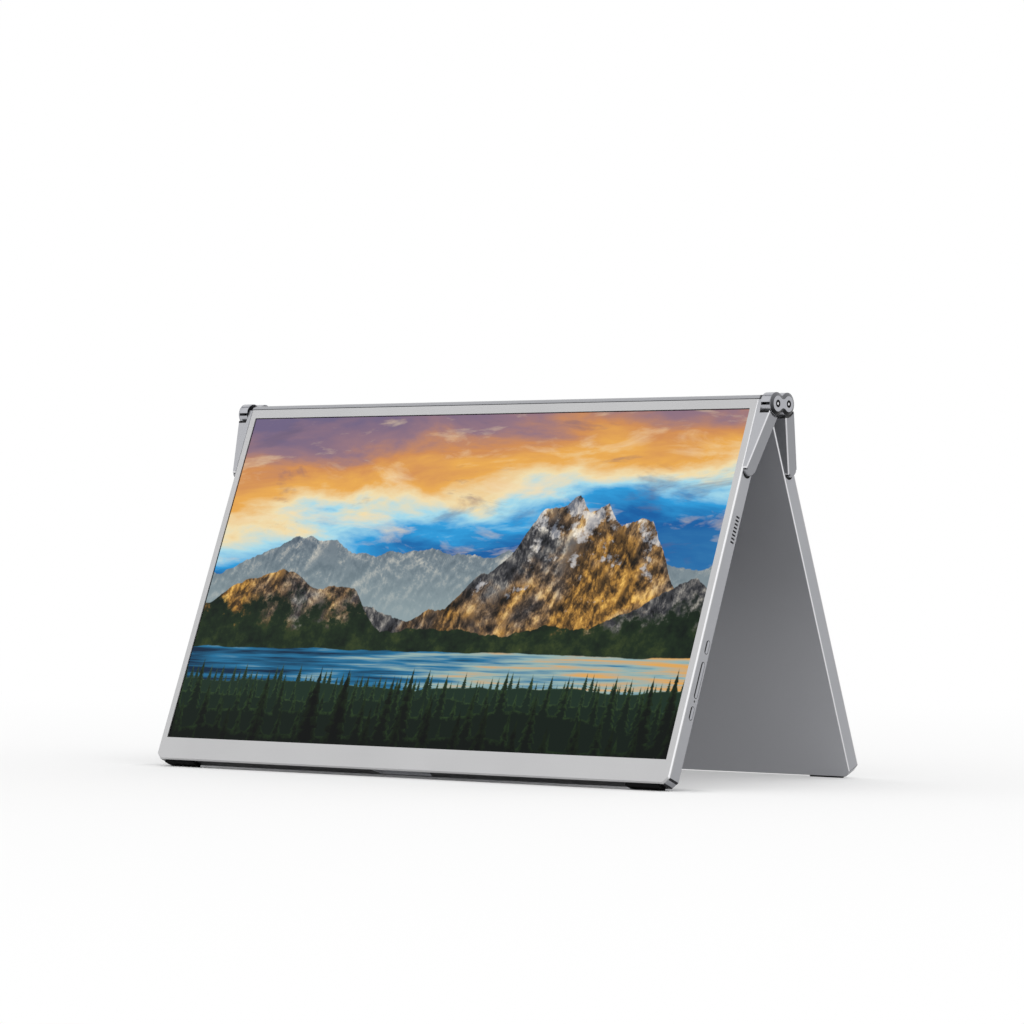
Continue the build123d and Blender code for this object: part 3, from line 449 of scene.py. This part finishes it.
def bead_blasted(name, colour, roughness, grain=0.9, zones=()):
    """Bead-blasted, anodised aluminium: an even satin of tiny dimples. The eye gets a soft metal sheen with a faint
    salt-like grain. Real dimples are 0.1 to 0.2 mm, too fine to show, so the grain is drawn at about 0.9 mm. Zones
    with a colour of their own paint light and shade: painted highlights on chamfers, faces painted lighter or darker,
    and black painted shade in recesses and hollows."""
    material, tree, shader, place = new_material(name, Metallic=metallic_sheen)
    dimples = add(tree, "TexNoise", {"Vector": place, "Scale": 1 / (grain * MM), "Detail": 2.0, "Roughness": 0.6})
    clouds = add(tree, "TexNoise", {"Vector": place, "Scale": 1 / (45 * MM), "Detail": 2.0})
    mixed = add(tree, "Math", (dimples, 0.55, clouds), operation="MULTIPLY_ADD")
    tone = add(tree, "MapRange", {"Value": mixed, "From Min": 0.45, "From Max": 1.1})
    tint = blend(tree, tone, *shades(colour, 0.955, 1.04))
    tree.links.new(zoned(tree, place, tint, zones), shader.inputs["Base Color"])
    sheen = add(tree, "MapRange", {"Value": dimples, "From Min": 0.3, "From Max": 0.7,
                                   "To Min": roughness - 0.03, "To Max": roughness + 0.03})
    tree.links.new(sheen.outputs[0], shader.inputs["Roughness"])
    bump = add(tree, "Bump", {"Height": dimples, "Strength": 0.12, "Distance": 0.02 * MM})
    tree.links.new(bump.outputs[0], shader.inputs["Normal"])
    return material


def brushed_steel(name, colour, roughness, scale=0.25, zones=()):
    """Ground or stamped steel: fine lines all one way, which streak the highlight. Lines of about 0.25 mm."""
    material, tree, shader, place = new_material(name, Metallic=1.0)
    lines = add(tree, "Mapping", {"Vector": place, "Scale": (1 / (12 * MM), 1 / (scale * MM), 1 / (scale * MM))})
    noise = add(tree, "TexNoise", {"Vector": lines, "Scale": 1.0, "Detail": 3.0})
    tint = blend(tree, noise, *shades(colour, 0.88, 1.08))
    tree.links.new(zoned(tree, place, tint, zones), shader.inputs["Base Color"])
    sheen = add(tree, "MapRange", {"Value": noise, "To Min": roughness - 0.06, "To Max": roughness + 0.08})
    tree.links.new(sheen.outputs[0], shader.inputs["Roughness"])
    return material


def moulded(name, colour, roughness, grain, depth, **sockets):
    """Moulded plastic or rubber: a fine spark-eroded texture from the mould, with the grain and depth given in mm."""
    material, tree, shader, place = new_material(name, **sockets)
    texture = add(tree, "TexNoise", {"Vector": place, "Scale": 1 / (grain * MM), "Detail": 4.0, "Roughness": 0.65})
    tree.links.new(blend(tree, texture, *shades(colour, 0.8, 1.2)), shader.inputs["Base Color"])
    sheen = add(tree, "MapRange", {"Value": texture, "To Min": roughness - 0.08, "To Max": roughness + 0.08})
    tree.links.new(sheen.outputs[0], shader.inputs["Roughness"])
    bump = add(tree, "Bump", {"Height": texture, "Strength": 0.6, "Distance": depth * MM})
    tree.links.new(bump.outputs[0], shader.inputs["Normal"])
    return material


def skyline(tree, along, height, level, swing, pitch, seed, peaks=()):
    """How far a point lies below a skyline: level, plus swing times one-dimensional fractal noise along the picture,
    plus each peak, a straight-sided bump of the given middle, half width and rise, minus the point's height."""
    shifted = add(tree, "Math", (along, seed), operation="ADD")
    rough = add(tree, "TexNoise", {"W": shifted, "Scale": pitch, "Detail": 9.0, "Roughness": 0.56},
                noise_dimensions="1D")
    edge = add(tree, "Math", (rough, swing, level - swing / 2), operation="MULTIPLY_ADD")
    for middle, reach, rise in peaks:
        away = add(tree, "Math", (along, middle), operation="SUBTRACT")
        away = add(tree, "Math", (away,), operation="ABSOLUTE")
        bump = add(tree, "Math", (away, -rise / reach, rise), operation="MULTIPLY_ADD")
        bump = add(tree, "Math", (bump, 0.0), operation="MAXIMUM")
        edge = add(tree, "Math", (edge, bump), operation="ADD")
    return add(tree, "Math", (edge, height), operation="SUBTRACT")


def conifers(tree, along, height, level, swing, spacing, rise, seed):
    """How far a point lies inside a row of conifers: each cell of the given spacing holds one spire of its own height
    and place, as wide as the distance down from its tip, with tiers of branches that step in and out."""
    cell = add(tree, "Math", (along, 1 / spacing, seed), operation="MULTIPLY_ADD")
    chance = add(tree, "TexWhiteNoise", {"W": add(tree, "Math", (cell,), operation="FLOOR")}, noise_dimensions="1D")
    place = add(tree, "SeparateColor", (chance.outputs["Color"],))
    middle = add(tree, "Math", (place.outputs[0], 0.3, 0.35), operation="MULTIPLY_ADD")
    inside = add(tree, "Math", (add(tree, "Math", (cell,), operation="FRACT"), middle), operation="SUBTRACT")
    inside = add(tree, "Math", (inside,), operation="ABSOLUTE")
    ground = add(tree, "TexNoise", {"W": add(tree, "Math", (along, seed), operation="ADD"), "Scale": 1.9,
                                    "Detail": 4.0}, noise_dimensions="1D")
    ground = add(tree, "Math", (ground, swing, level - swing / 2), operation="MULTIPLY_ADD")
    tall = add(tree, "Math", (place.outputs[1], 0.72 * rise, 0.28 * rise), operation="MULTIPLY_ADD")
    down = add(tree, "Math", (add(tree, "Math", (ground, tall), operation="ADD"), height), operation="SUBTRACT")
    tier = add(tree, "Math", (down, 9.0 / rise, place.outputs[2]), operation="MULTIPLY_ADD")
    tier = add(tree, "Math", (tier,), operation="FRACT")
    twigs = add(tree, "TexNoise", {"Vector": add(tree, "CombineXYZ", (along, height)), "Scale": 3.2 / spacing,
                                   "Detail": 5.0, "Roughness": 0.7})
    wide = add(tree, "Math", (down, 0.42 / rise, -0.03), operation="MULTIPLY_ADD")
    ragged = add(tree, "Math", (tier, 0.5, 0.45), operation="MULTIPLY_ADD")
    ragged = add(tree, "Math", (ragged, twigs), operation="ADD")
    wide = add(tree, "Math", (wide, ragged), operation="MULTIPLY")
    spire = add(tree, "Math", (wide, inside), operation="SUBTRACT")
    spire = add(tree, "Math", (spire, spacing), operation="MULTIPLY")
    below = add(tree, "Math", (ground, height), operation="SUBTRACT")
    return add(tree, "Math", (spire, below), operation="MAXIMUM")


def laid_over(tree, below, colour, depth, edge=300.0):
    """One layer of the picture over another, where its depth inside its own outline is above nought."""
    return blend(tree, add(tree, "Math", (depth, edge), operation="MULTIPLY", use_clamp=True), below, colour)


def rock_relief(tree, flat, size, stretch, toward, strength, seed):
    """Light on rock: a ridged field less the same field a step toward the light, about a middle grey."""
    fields = []
    for step in ((seed, 0.0, 0.0), (seed + toward[0], toward[1], 0.0)):
        place = add(tree, "Mapping", {"Vector": flat, "Location": step, "Rotation": (0, 0, 0.35), "Scale": stretch})
        fields.append(add(tree, "TexNoise", {"Vector": place, "Scale": size, "Detail": 10.0, "Roughness": 0.74,
                                             "Offset": 0.85, "Gain": 2.6, "Distortion": 0.12},
                          noise_type="RIDGED_MULTIFRACTAL", normalize=False))
    slope = add(tree, "Math", fields, operation="SUBTRACT")
    return add(tree, "Math", (slope, strength, 0.42), operation="MULTIPLY_ADD", use_clamp=True)


def evening_sky(tree, flat, x, y):
    """Streaked clouds: a band of evening colours that a stretched noise warps, with pale and dull tufts over it."""
    streaks = add(tree, "Mapping", {"Vector": flat, "Scale": (1.1, 3.6, 1.0)})
    warp = add(tree, "TexNoise", {"Vector": streaks, "Scale": 1.6, "Detail": 8.0, "Roughness": 0.56,
                                  "Distortion": 0.35})
    tilt = add(tree, "Math", (x, -0.10, y), operation="MULTIPLY_ADD")
    band = add(tree, "Math", (warp, 0.55, tilt), operation="MULTIPLY_ADD")
    band = add(tree, "MapRange", {"Value": band, "From Min": 0.14, "From Max": 0.92})
    sky = add(tree, "ValToRGB", (band,), stops=[
        (0.0, "93a9ad"), (0.12, "2f77ad"), (0.26, "0f5c9f"), (0.38, "2c9ad8"), (0.47, "a6d8e8"), (0.54, "efdcae"),
        (0.63, "e8aa52"), (0.74, "cf8d55"), (0.86, "94747f"), (1.0, "6f6382")])
    tufts = add(tree, "Mapping", {"Vector": flat, "Location": (3.1, 1.7, 0.0), "Scale": (1.3, 4.6, 1.0)})
    tufts = add(tree, "TexNoise", {"Vector": tufts, "Scale": 2.1, "Detail": 9.0, "Roughness": 0.6, "Distortion": 0.5})
    bright = add(tree, "MapRange", {"Value": tufts, "From Min": 0.54, "From Max": 0.74, "To Max": 0.75})
    dull = add(tree, "MapRange", {"Value": tufts, "From Min": 0.42, "From Max": 0.28, "To Max": 0.6})
    return blend(tree, dull, blend(tree, bright, sky, linear("f3dcb4")), linear("655a74"))


def rock_colours(tree, flat, x, light, warm_from, warm_to, warm_side):
    """Rock in its relief's light: cool grey where it turns to the shade, gold where the low sun falls on it."""
    cool = add(tree, "ValToRGB", (light,),
               stops=[(0.05, "121416"), (0.36, "3a3b3f"), (0.6, "6d6b69"), (0.9, "b9b4aa")])
    gold = add(tree, "ValToRGB", (light,),
               stops=[(0.05, "1c1710"), (0.34, "5f4626"), (0.6, "b0813d"), (0.88, "f6c566")])
    glow = add(tree, "TexNoise", {"Vector": flat, "Scale": 2.6, "Detail": 5.0, "Roughness": 0.6})
    glow = add(tree, "Math", (x, warm_side, glow), operation="MULTIPLY_ADD")
    glow = add(tree, "MapRange", {"Value": glow, "From Min": warm_from, "From Max": warm_to})
    return blend(tree, glow, cool, gold)


def landscape(tree, flat):
    """A generic evening view over a lake, made of layers from the sky down: clouds, a hazy snow range, a lit rock
    massif, wooded foothills, a lake and rows of conifers. The picture is 2 wide and 1.125 high."""
    place = add(tree, "SeparateXYZ", (flat,))
    x, y = place.outputs[0], place.outputs[1]
    view = evening_sky(tree, flat, x, y)

    # The hazy snow range
    depth = skyline(tree, x, y, 0.05, 0.22, 1.7, 4.3, ((-0.62, 0.30, 0.10), (-0.10, 0.22, 0.07)))
    light = rock_relief(tree, flat, 3.4, (1.2, 0.9, 1.0), (0.014, -0.014), 0.42, 2.0)
    rock = add(tree, "ValToRGB", (light,),
               stops=[(0.1, "3c4b5c"), (0.45, "6b7680"), (0.75, "b9b6ae"), (0.95, "f1e6d2")])
    haze = add(tree, "MapRange", {"Value": y, "From Min": 0.16, "From Max": -0.16})
    view = laid_over(tree, view, blend(tree, haze, rock, linear("8fa0a4")), depth)

    # The lit rock massif, with snow above a ragged line
    depth = skyline(tree, x, y, -0.12, 0.17, 3.4, 11.7,
                    ((0.44, 0.46, 0.40), (0.74, 0.24, 0.15), (0.30, 0.10, 0.08), (0.56, 0.07, 0.05)))
    light = rock_relief(tree, flat, 2.7, (1.5, 0.8, 1.0), (0.018, -0.014), 0.5, 5.0)
    rock = rock_colours(tree, flat, x, light, 0.50, 0.66, 0.16)
    snow = add(tree, "TexNoise", {"Vector": flat, "Scale": 11.0, "Detail": 7.0, "Roughness": 0.66})
    snow = add(tree, "Math", (y, 0.55, snow), operation="MULTIPLY_ADD")
    snow = add(tree, "MapRange", {"Value": snow, "From Min": 0.60, "From Max": 0.66, "To Max": 0.85})
    snowy = add(tree, "ValToRGB", (light,), stops=[(0.1, "6f7480"), (0.5, "c9c6c4"), (0.9, "fbf2df")])
    view = laid_over(tree, view, blend(tree, snow, rock, snowy), depth)

    # The foothills, wooded at their foot
    depth = skyline(tree, x, y, -0.17, 0.13, 2.9, 23.1,
                    ((-0.70, 0.52, 0.20), (0.96, 0.42, 0.16), (-0.38, 0.13, 0.05)))
    light = rock_relief(tree, flat, 3.6, (1.4, 1.0, 1.0), (0.014, -0.014), 0.45, 9.0)
    rock = rock_colours(tree, flat, x, light, 0.44, 0.62, -0.10)
    woods = add(tree, "TexNoise", {"Vector": flat, "Scale": 8.0, "Detail": 9.0, "Roughness": 0.72})
    cover = add(tree, "Math", (y, 1.5, woods), operation="MULTIPLY_ADD")
    cover = add(tree, "MapRange", {"Value": cover, "From Min": 0.40, "From Max": 0.30})
    forest = add(tree, "ValToRGB", (woods,), stops=[(0.35, "0c1712"), (0.5, "1b2b1a"), (0.68, "3d4a25")])
    view = laid_over(tree, view, blend(tree, cover, rock, forest), depth)

    # The lake, whose ripples carry the sky's colours
    depth = skyline(tree, x, y, -0.245, 0.03, 2.6, 7.9)
    ripples = add(tree, "Mapping", {"Vector": flat, "Scale": (3.0, 60.0, 1.0)})
    ripples = add(tree, "TexNoise", {"Vector": ripples, "Scale": 1.0, "Detail": 5.0})
    water = add(tree, "Math", (x, 0.22, ripples), operation="MULTIPLY_ADD")
    water = add(tree, "ValToRGB", (water,),
                stops=[(0.25, "0b2740"), (0.45, "25719b"), (0.6, "93b0ae"), (0.78, "dba45a")])
    view = laid_over(tree, view, water, depth)

    # Rows of conifers, from the far shore to the viewer
    for level, swing, spacing, rise, seed, dark, pale in (
            (-0.360, 0.08, 0.026, 0.070, 3.0, "1a2e22", "4b6340"),
            (-0.410, 0.10, 0.041, 0.120, 57.0, "13241a", "3d5530"),
            (-0.455, 0.12, 0.060, 0.190, 83.0, "0d1a12", "2f4624"),
            (-0.530, 0.12, 0.085, 0.270, 17.0, "070f0a", "21351a"),
            (-0.610, 0.14, 0.118, 0.360, 31.0, "030705", "152410")):
        depth = conifers(tree, x, y, level, swing, spacing, rise, seed)
        leaf = add(tree, "TexNoise", {"Vector": flat, "Scale": 2.4 / spacing, "Detail": 7.0, "Roughness": 0.8})
        leaf = add(tree, "Math", (depth, -1.1 / spacing, leaf), operation="MULTIPLY_ADD")
        leaf = add(tree, "MapRange", {"Value": leaf, "From Min": 0.30, "From Max": 0.62})
        view = laid_over(tree, view, blend(tree, leaf, linear(dark), linear(pale)), depth)
    return view, x, y


def screen_glass(side):
    """Lit LCD behind smooth glass: glows with its picture inside a thin black rim, and keeps its blacks black."""
    material, tree, shader, place = new_material(f"lit_lcd_glass_{side}", Base_Color=linear("030304"), Roughness=0.14,
                                                 Specular_IOR_Level=0.06, Emission_Strength=1.0)
    middle = Vector(on_panel(side, 0.0, -screen_top_margin - active_height / 2, 0.0).tolist())
    turn = Matrix(panel_axes[side]).transposed().to_euler()
    flat = add(tree, "Mapping", {"Vector": place, "Location": middle, "Rotation": tuple(turn),
                                 "Scale": (active_width * MM / 2,) * 3}, vector_type="TEXTURE")
    view, x, y = landscape(tree, flat)
    for along, reach in ((x, 1.0), (y, active_height / active_width)):
        inside = add(tree, "Math", (along,), operation="ABSOLUTE")
        inside = add(tree, "Math", (inside, reach), operation="LESS_THAN")
        view = blend(tree, inside, linear("020203"), view)
    tree.links.new(view, shader.inputs["Emission Color"])
    return material


def capped_button(node):
    """A satin aluminium cap with black painted shade along its front edge, its lower end and its sides. The metal is
    the outer skin along X and a round-ended shape that sits off the button's front edge and its lower end, where the
    black painted shade shows."""
    material, tree, shader, place = new_material(f"satin_{node}")
    low, high = (Vector(corner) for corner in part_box(node))
    middle = (low + high) / 2 - axle_point["front"]
    height = middle.dot(Vector(panel_axes["front"][1]))
    run = (high - low).z / cos(lean) / 2 - button_width * MM / 2
    u, v, w = panel_place(tree, place, "front")
    along = add(tree, "Math", (v, height + shade_margin_low * MM), operation="SUBTRACT")
    along = add(tree, "Math", (along,), operation="ABSOLUTE")
    along = add(tree, "Math", (add(tree, "Math", (along, run), operation="SUBTRACT"), 0.0), operation="MAXIMUM")
    deep = add(tree, "Math", (w, (control_depth + shade_margin_front) * MM), operation="SUBTRACT")
    reach = add(tree, "VectorMath", (add(tree, "CombineXYZ", (along, deep)),), operation="LENGTH").outputs["Value"]
    metal = add(tree, "Math", (between(tree, reach, -beyond * MM, button_width / 2 * MM),
                               between(tree, u, (half_width + button_proud - cap_skin) * MM, beyond * MM)),
                operation="MULTIPLY")
    # Black, matt and not metallic where the painted shade is, satin aluminium elsewhere
    tree.links.new(blend(tree, metal, linear("0c0c0d"), linear("a4a5aa")), shader.inputs["Base Color"])
    for socket, black, bright in (("Metallic", 0.0, metallic_sheen), ("Roughness", 0.6, 0.34)):
        level = add(tree, "MapRange", {"Value": metal, "To Min": black, "To Max": bright})
        tree.links.new(level.outputs[0], shader.inputs[socket])
    return material


# Two painted colours: black painted shade for recesses, hollows and the rims of the pin ends, and a near-white painted
# highlight for chamfers
painted_recess_shade, painted_edge_highlight = "060607", "e4e4e6"
finishes = {
    "anodised_hinge": bead_blasted("satin_hinge", "a8a9ae", 0.24),
    # The cap bevels' dark colour is in part painted shade, and their zone paints them lighter toward their top: painted
    # light
    "cut_bevel": bead_blasted("dark_cut_bevel", "101113", 0.26, zones=[(painted_light_toward_top, "707175")]),
    # The cap recesses are black as painted shade
    "cap_recess": bead_blasted("recess_painted_shade", painted_recess_shade, 0.5),
    "foot_rubber": moulded("matt_rubber", "060607", 0.8, 0.5, 0.03, Specular_IOR_Level=0.12),
    "circuit": moulded("green_solder_mask", "164434", 0.35, 1.2, 0.02),
    "steel": brushed_steel("oiled_steel", "2c2d30", 0.36),
    "port_steel": brushed_steel("stamped_steel", "b0b2b6", 0.25),
    "speaker_plastic": moulded("matt_moulded_plastic", "1c1c1e", 0.6, 0.4, 0.02),
    "light_guide": moulded("gloss_white_plastic", "eceef0", 0.2, 2.0, 0.004),
    "light_pipe": moulded("smoked_light_pipe", "1d1f22", 0.12, 1.0, 0.002),
}
arm_face = arm_front_inset + hair
arm_back = panel_thickness - arm_back_inset - hair
chamfer_foot = arm_front_inset + arm_chamfer
back_edge = panel_thickness - back_chamfer
full_width, full_height, arm_height = (0, beyond), (-beyond, beyond), (-60, beyond)
for side in ("front", "rear"):
    # The bezel's side chamfer is painted near-white: a painted highlight
    finishes[f"{side}_anodised_silver"] = bead_blasted(f"bead_blasted_silver_{side}", "b6b6b7", 0.40, zones=[
        (panel_zone(side, (half_width - edge_chamfer + hair, beyond), full_height,
                    (-beyond, edge_chamfer - hair)), painted_edge_highlight)])
    # The shell's base colour, darker than the bezel's, is in part painted shade on its side faces
    finishes[f"{side}_anodised_shell"] = bead_blasted(f"bead_blasted_dark_silver_{side}", "a0a1a5", 0.40, zones=[
        # Painted shade on the bottom face and the corner cuts
        (panel_base_shade(side), "28292c"),
        # The back face painted lighter: painted light
        (panel_zone(side, full_width, full_height, (panel_thickness - hair, beyond)), "acadb1"),
        # A painted highlight on the back chamfer
        (panel_zone(side, (half_width - back_chamfer + hair, beyond), full_height,
                    (back_edge + hair, beyond)), painted_edge_highlight),
        # Black painted shade in the arm's pocket
        (panel_zone(side, (half_width - pocket_depth - hair, half_width - hair), (-pocket_end, beyond),
                    (pocket_inset - hair, panel_thickness - pocket_inset + hair)), painted_recess_shade)])
    # The arm's base colour is its side's, darker as painted shade, and its front face is painted lighter as painted
    # light
    finishes[f"{side}_anodised_arm"] = bead_blasted(f"bead_blasted_arm_painted_light_{side}", "8c8d91", 0.38, zones=[
        (panel_zone(side, full_width, arm_height, (-beyond, arm_face)), "a6a7ab"),
        # Painted highlights on the arm's chamfers
        (panel_zone(side, full_width, arm_height, (arm_face, chamfer_foot - hair)), "cfcfd2"),
        (panel_zone(side, full_width, arm_height, (arm_back - arm_chamfer + 2 * hair, arm_back)), "cfcfd2"),
        # Black painted shade in the hollow under the hinge housing
        (panel_zone(side, (arm_strip_end + 0.1, arm_hollow_end), (-arm_hollow_foot, beyond), (-beyond, chamfer_foot)),
         painted_recess_shade),
        (round_axle(side, arm_strip_end + 0.1, arm_hollow_end, 0, arm_hollow_radius), painted_recess_shade)])
    # The pin end is black round its bare centre: painted shade
    finishes[f"{side}_pin_steel"] = brushed_steel(f"turned_pin_end_painted_shade_{side}", "d8d8da", 0.3, zones=[
        (round_axle(side, cap_start, beyond, pin_bright_radius, beyond), painted_recess_shade)])
    finishes[f"{side}_screen"] = screen_glass(side)
for node in ("menu_button", "power_button", "rocker"):
    finishes[f"{node.split('_')[0]}_button_silver"] = capped_button(node)


def dress(piece, material):
    """Gives every part of a piece one finish."""
    piece.data.materials.clear()
    piece.data.materials.append(material)


slot_of = {part["node"]: part["material_slot"] for part in frame["record"]["subparts"]}
for name, node in nodes.items():
    own = f"{name.split('_')[0]}_{slot_of[name]}"
    dress(node, finishes[own if own in finishes else slot_of[name]])


# ---------------------------------------------------------------- pieces

caps, recesses = hinge_caps()
for piece, finish, replaced in ((caps, "anodised_hinge", ("hinge_caps",)),
                                (recesses, "cap_recess", ("hinge_caps",)),
                                (cap_bevels(), "cut_bevel", ("hinge_caps",)),
                                (hinge_barrels(), "anodised_hinge", ("barrels_upper", "barrels_lower"))):
    dress(piece, finishes[finish])
    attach(piece, "hinge_links")
    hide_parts(*replaced)
for side in ("front", "rear"):
    pins = axle_ends(side)
    dress(pins, finishes[f"{side}_pin_steel"])
    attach(pins, f"{side}_panel")
    strips = rubber_feet(side)
    dress(strips, finishes["foot_rubber"])
    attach(strips, f"{side}_panel")
    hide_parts(f"{side}_feet")


# ---------------------------------------------------------------- studio

def studio_floor():
    """A wide pale floor. Camera and mirror rays get a share of its own white glow, more with the distance, so it
    meets the white backdrop without an edge. The rest is matt and lit, so it keeps the object's soft shadow. Near the
    front panel's bottom edge it has no glow, which paints a darker contact shadow there, where the photograph's contact
    shadow is deepest."""
    contact_line = -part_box("front_feet")[1][1]
    bpy.ops.mesh.primitive_plane_add(size=60, location=(0, 0, -fine_gap * MM))
    floor = bpy.context.object
    floor.name = "studio_floor"
    material = bpy.data.materials.new("pale_studio_floor")
    material.use_nodes = True
    tree = material.node_tree
    tree.nodes.clear()
    place = add(tree, "TexCoord").outputs["Object"]
    away = add(tree, "VectorMath", (place,), operation="LENGTH").outputs["Value"]
    share = add(tree, "MapRange", {"Value": away, "From Min": 0.25, "From Max": 1.2, "To Min": 0.34, "To Max": 1.0},
                interpolation_type="SMOOTHSTEP")
    apart = add(tree, "SeparateXYZ", (place,)).outputs
    past_end = add(tree, "Math", (apart["X"],), operation="ABSOLUTE")
    past_end = add(tree, "Math", (past_end, half_width * MM), operation="SUBTRACT")
    past_end = add(tree, "Math", (past_end, 0.0), operation="MAXIMUM")
    to_edge = add(tree, "CombineXYZ", (past_end, add(tree, "Math", (apart["Y"], contact_line), operation="ADD")))
    to_edge = add(tree, "VectorMath", (to_edge,), operation="LENGTH").outputs["Value"]
    # 0 at the front panel's bottom edge, where the glow is taken out as a painted contact shadow, up to 1 beyond 24 mm
    clear = add(tree, "MapRange", {"Value": to_edge, "From Min": 10 * MM, "From Max": 24 * MM},
                interpolation_type="SMOOTHSTEP")
    share = add(tree, "Math", (share, clear), operation="MULTIPLY")
    share = add(tree, "Math", (share, directly_seen(tree)), operation="MULTIPLY")
    glow = add(tree, "Emission", {"Color": linear("ffffff"), "Strength": 1.0})
    matt = add(tree, "BsdfDiffuse", {"Color": linear("ebebeb")})
    add(tree, "OutputMaterial", (add(tree, "MixShader", (share, matt, glow)),))
    dress(floor, material)


def soft_lamp(name, place, target, size, power):
    """A square soft lamp that faces a point of the object."""
    lamp = bpy.data.lights.new(name, "AREA")
    lamp.shape, lamp.size, lamp.energy = "SQUARE", size, power
    holder = bpy.data.objects.new(name, lamp)
    bpy.context.scene.collection.objects.link(holder)
    holder.location = place
    holder.rotation_euler = (Vector(target) - Vector(place)).to_track_quat("-Z", "Y").to_euler()


def studio_world():
    """White behind everything for camera, mirror and see-through rays, and a plain grey-white light on the rest."""
    world = bpy.data.worlds.new("studio")
    bpy.context.scene.world = world
    world.use_nodes = True
    tree = world.node_tree
    tree.nodes.clear()
    strength = add(tree, "MapRange", {"Value": directly_seen(tree), "To Min": 1.08, "To Max": 1.0})
    back = add(tree, "Background", {"Color": linear("ffffff"), "Strength": strength})
    add(tree, "OutputWorld", (back,))


def photo_camera():
    """The camera where the photograph was taken: its place, its turn and a long lens, whose focal length was fitted
    in pixels of the picture."""
    place = (1.38466, -1.75081, 0.12145)
    yaw, pitch, roll = radians(-38.208), radians(0.544), radians(0.345)
    sensor, focal_pixels, picture_pixels = 36.0, 4062, 1024
    view = Vector((sin(yaw) * cos(pitch), cos(yaw) * cos(pitch), sin(pitch)))
    right = Vector((cos(yaw), -sin(yaw), 0.0))
    up = right.cross(view)
    right, up = cos(roll) * right + sin(roll) * up, -sin(roll) * right + cos(roll) * up
    camera = bpy.data.cameras.new("photo_view")
    camera.sensor_width, camera.lens = sensor, focal_pixels * sensor / picture_pixels
    camera.clip_start, camera.clip_end = 0.05, 100.0
    holder = bpy.data.objects.new("photo_view", camera)
    bpy.context.scene.collection.objects.link(holder)
    holder.matrix_world = Matrix.Translation(place) @ Matrix((right, up, -view)).transposed().to_4x4()
    bpy.context.scene.camera = holder


studio_floor()
studio_world()
soft_lamp("key", (-1.7, -1.75, 2.0), (0, 0, 0.1), 2.4, 5.5)
soft_lamp("side", (2.1, -1.15, 1.55), (0.1, 0, 0.1), 1.5, 2)
soft_lamp("top", (0.0, 1.0, 2.8), (0, 0, 0.1), 2.4, 4)
soft_lamp("low", (2.2, -0.75, 0.5), (0.1, 0.05, 0.1), 1.0, 1.5)
photo_camera()
bpy.context.scene.view_settings.view_transform = "Standard"
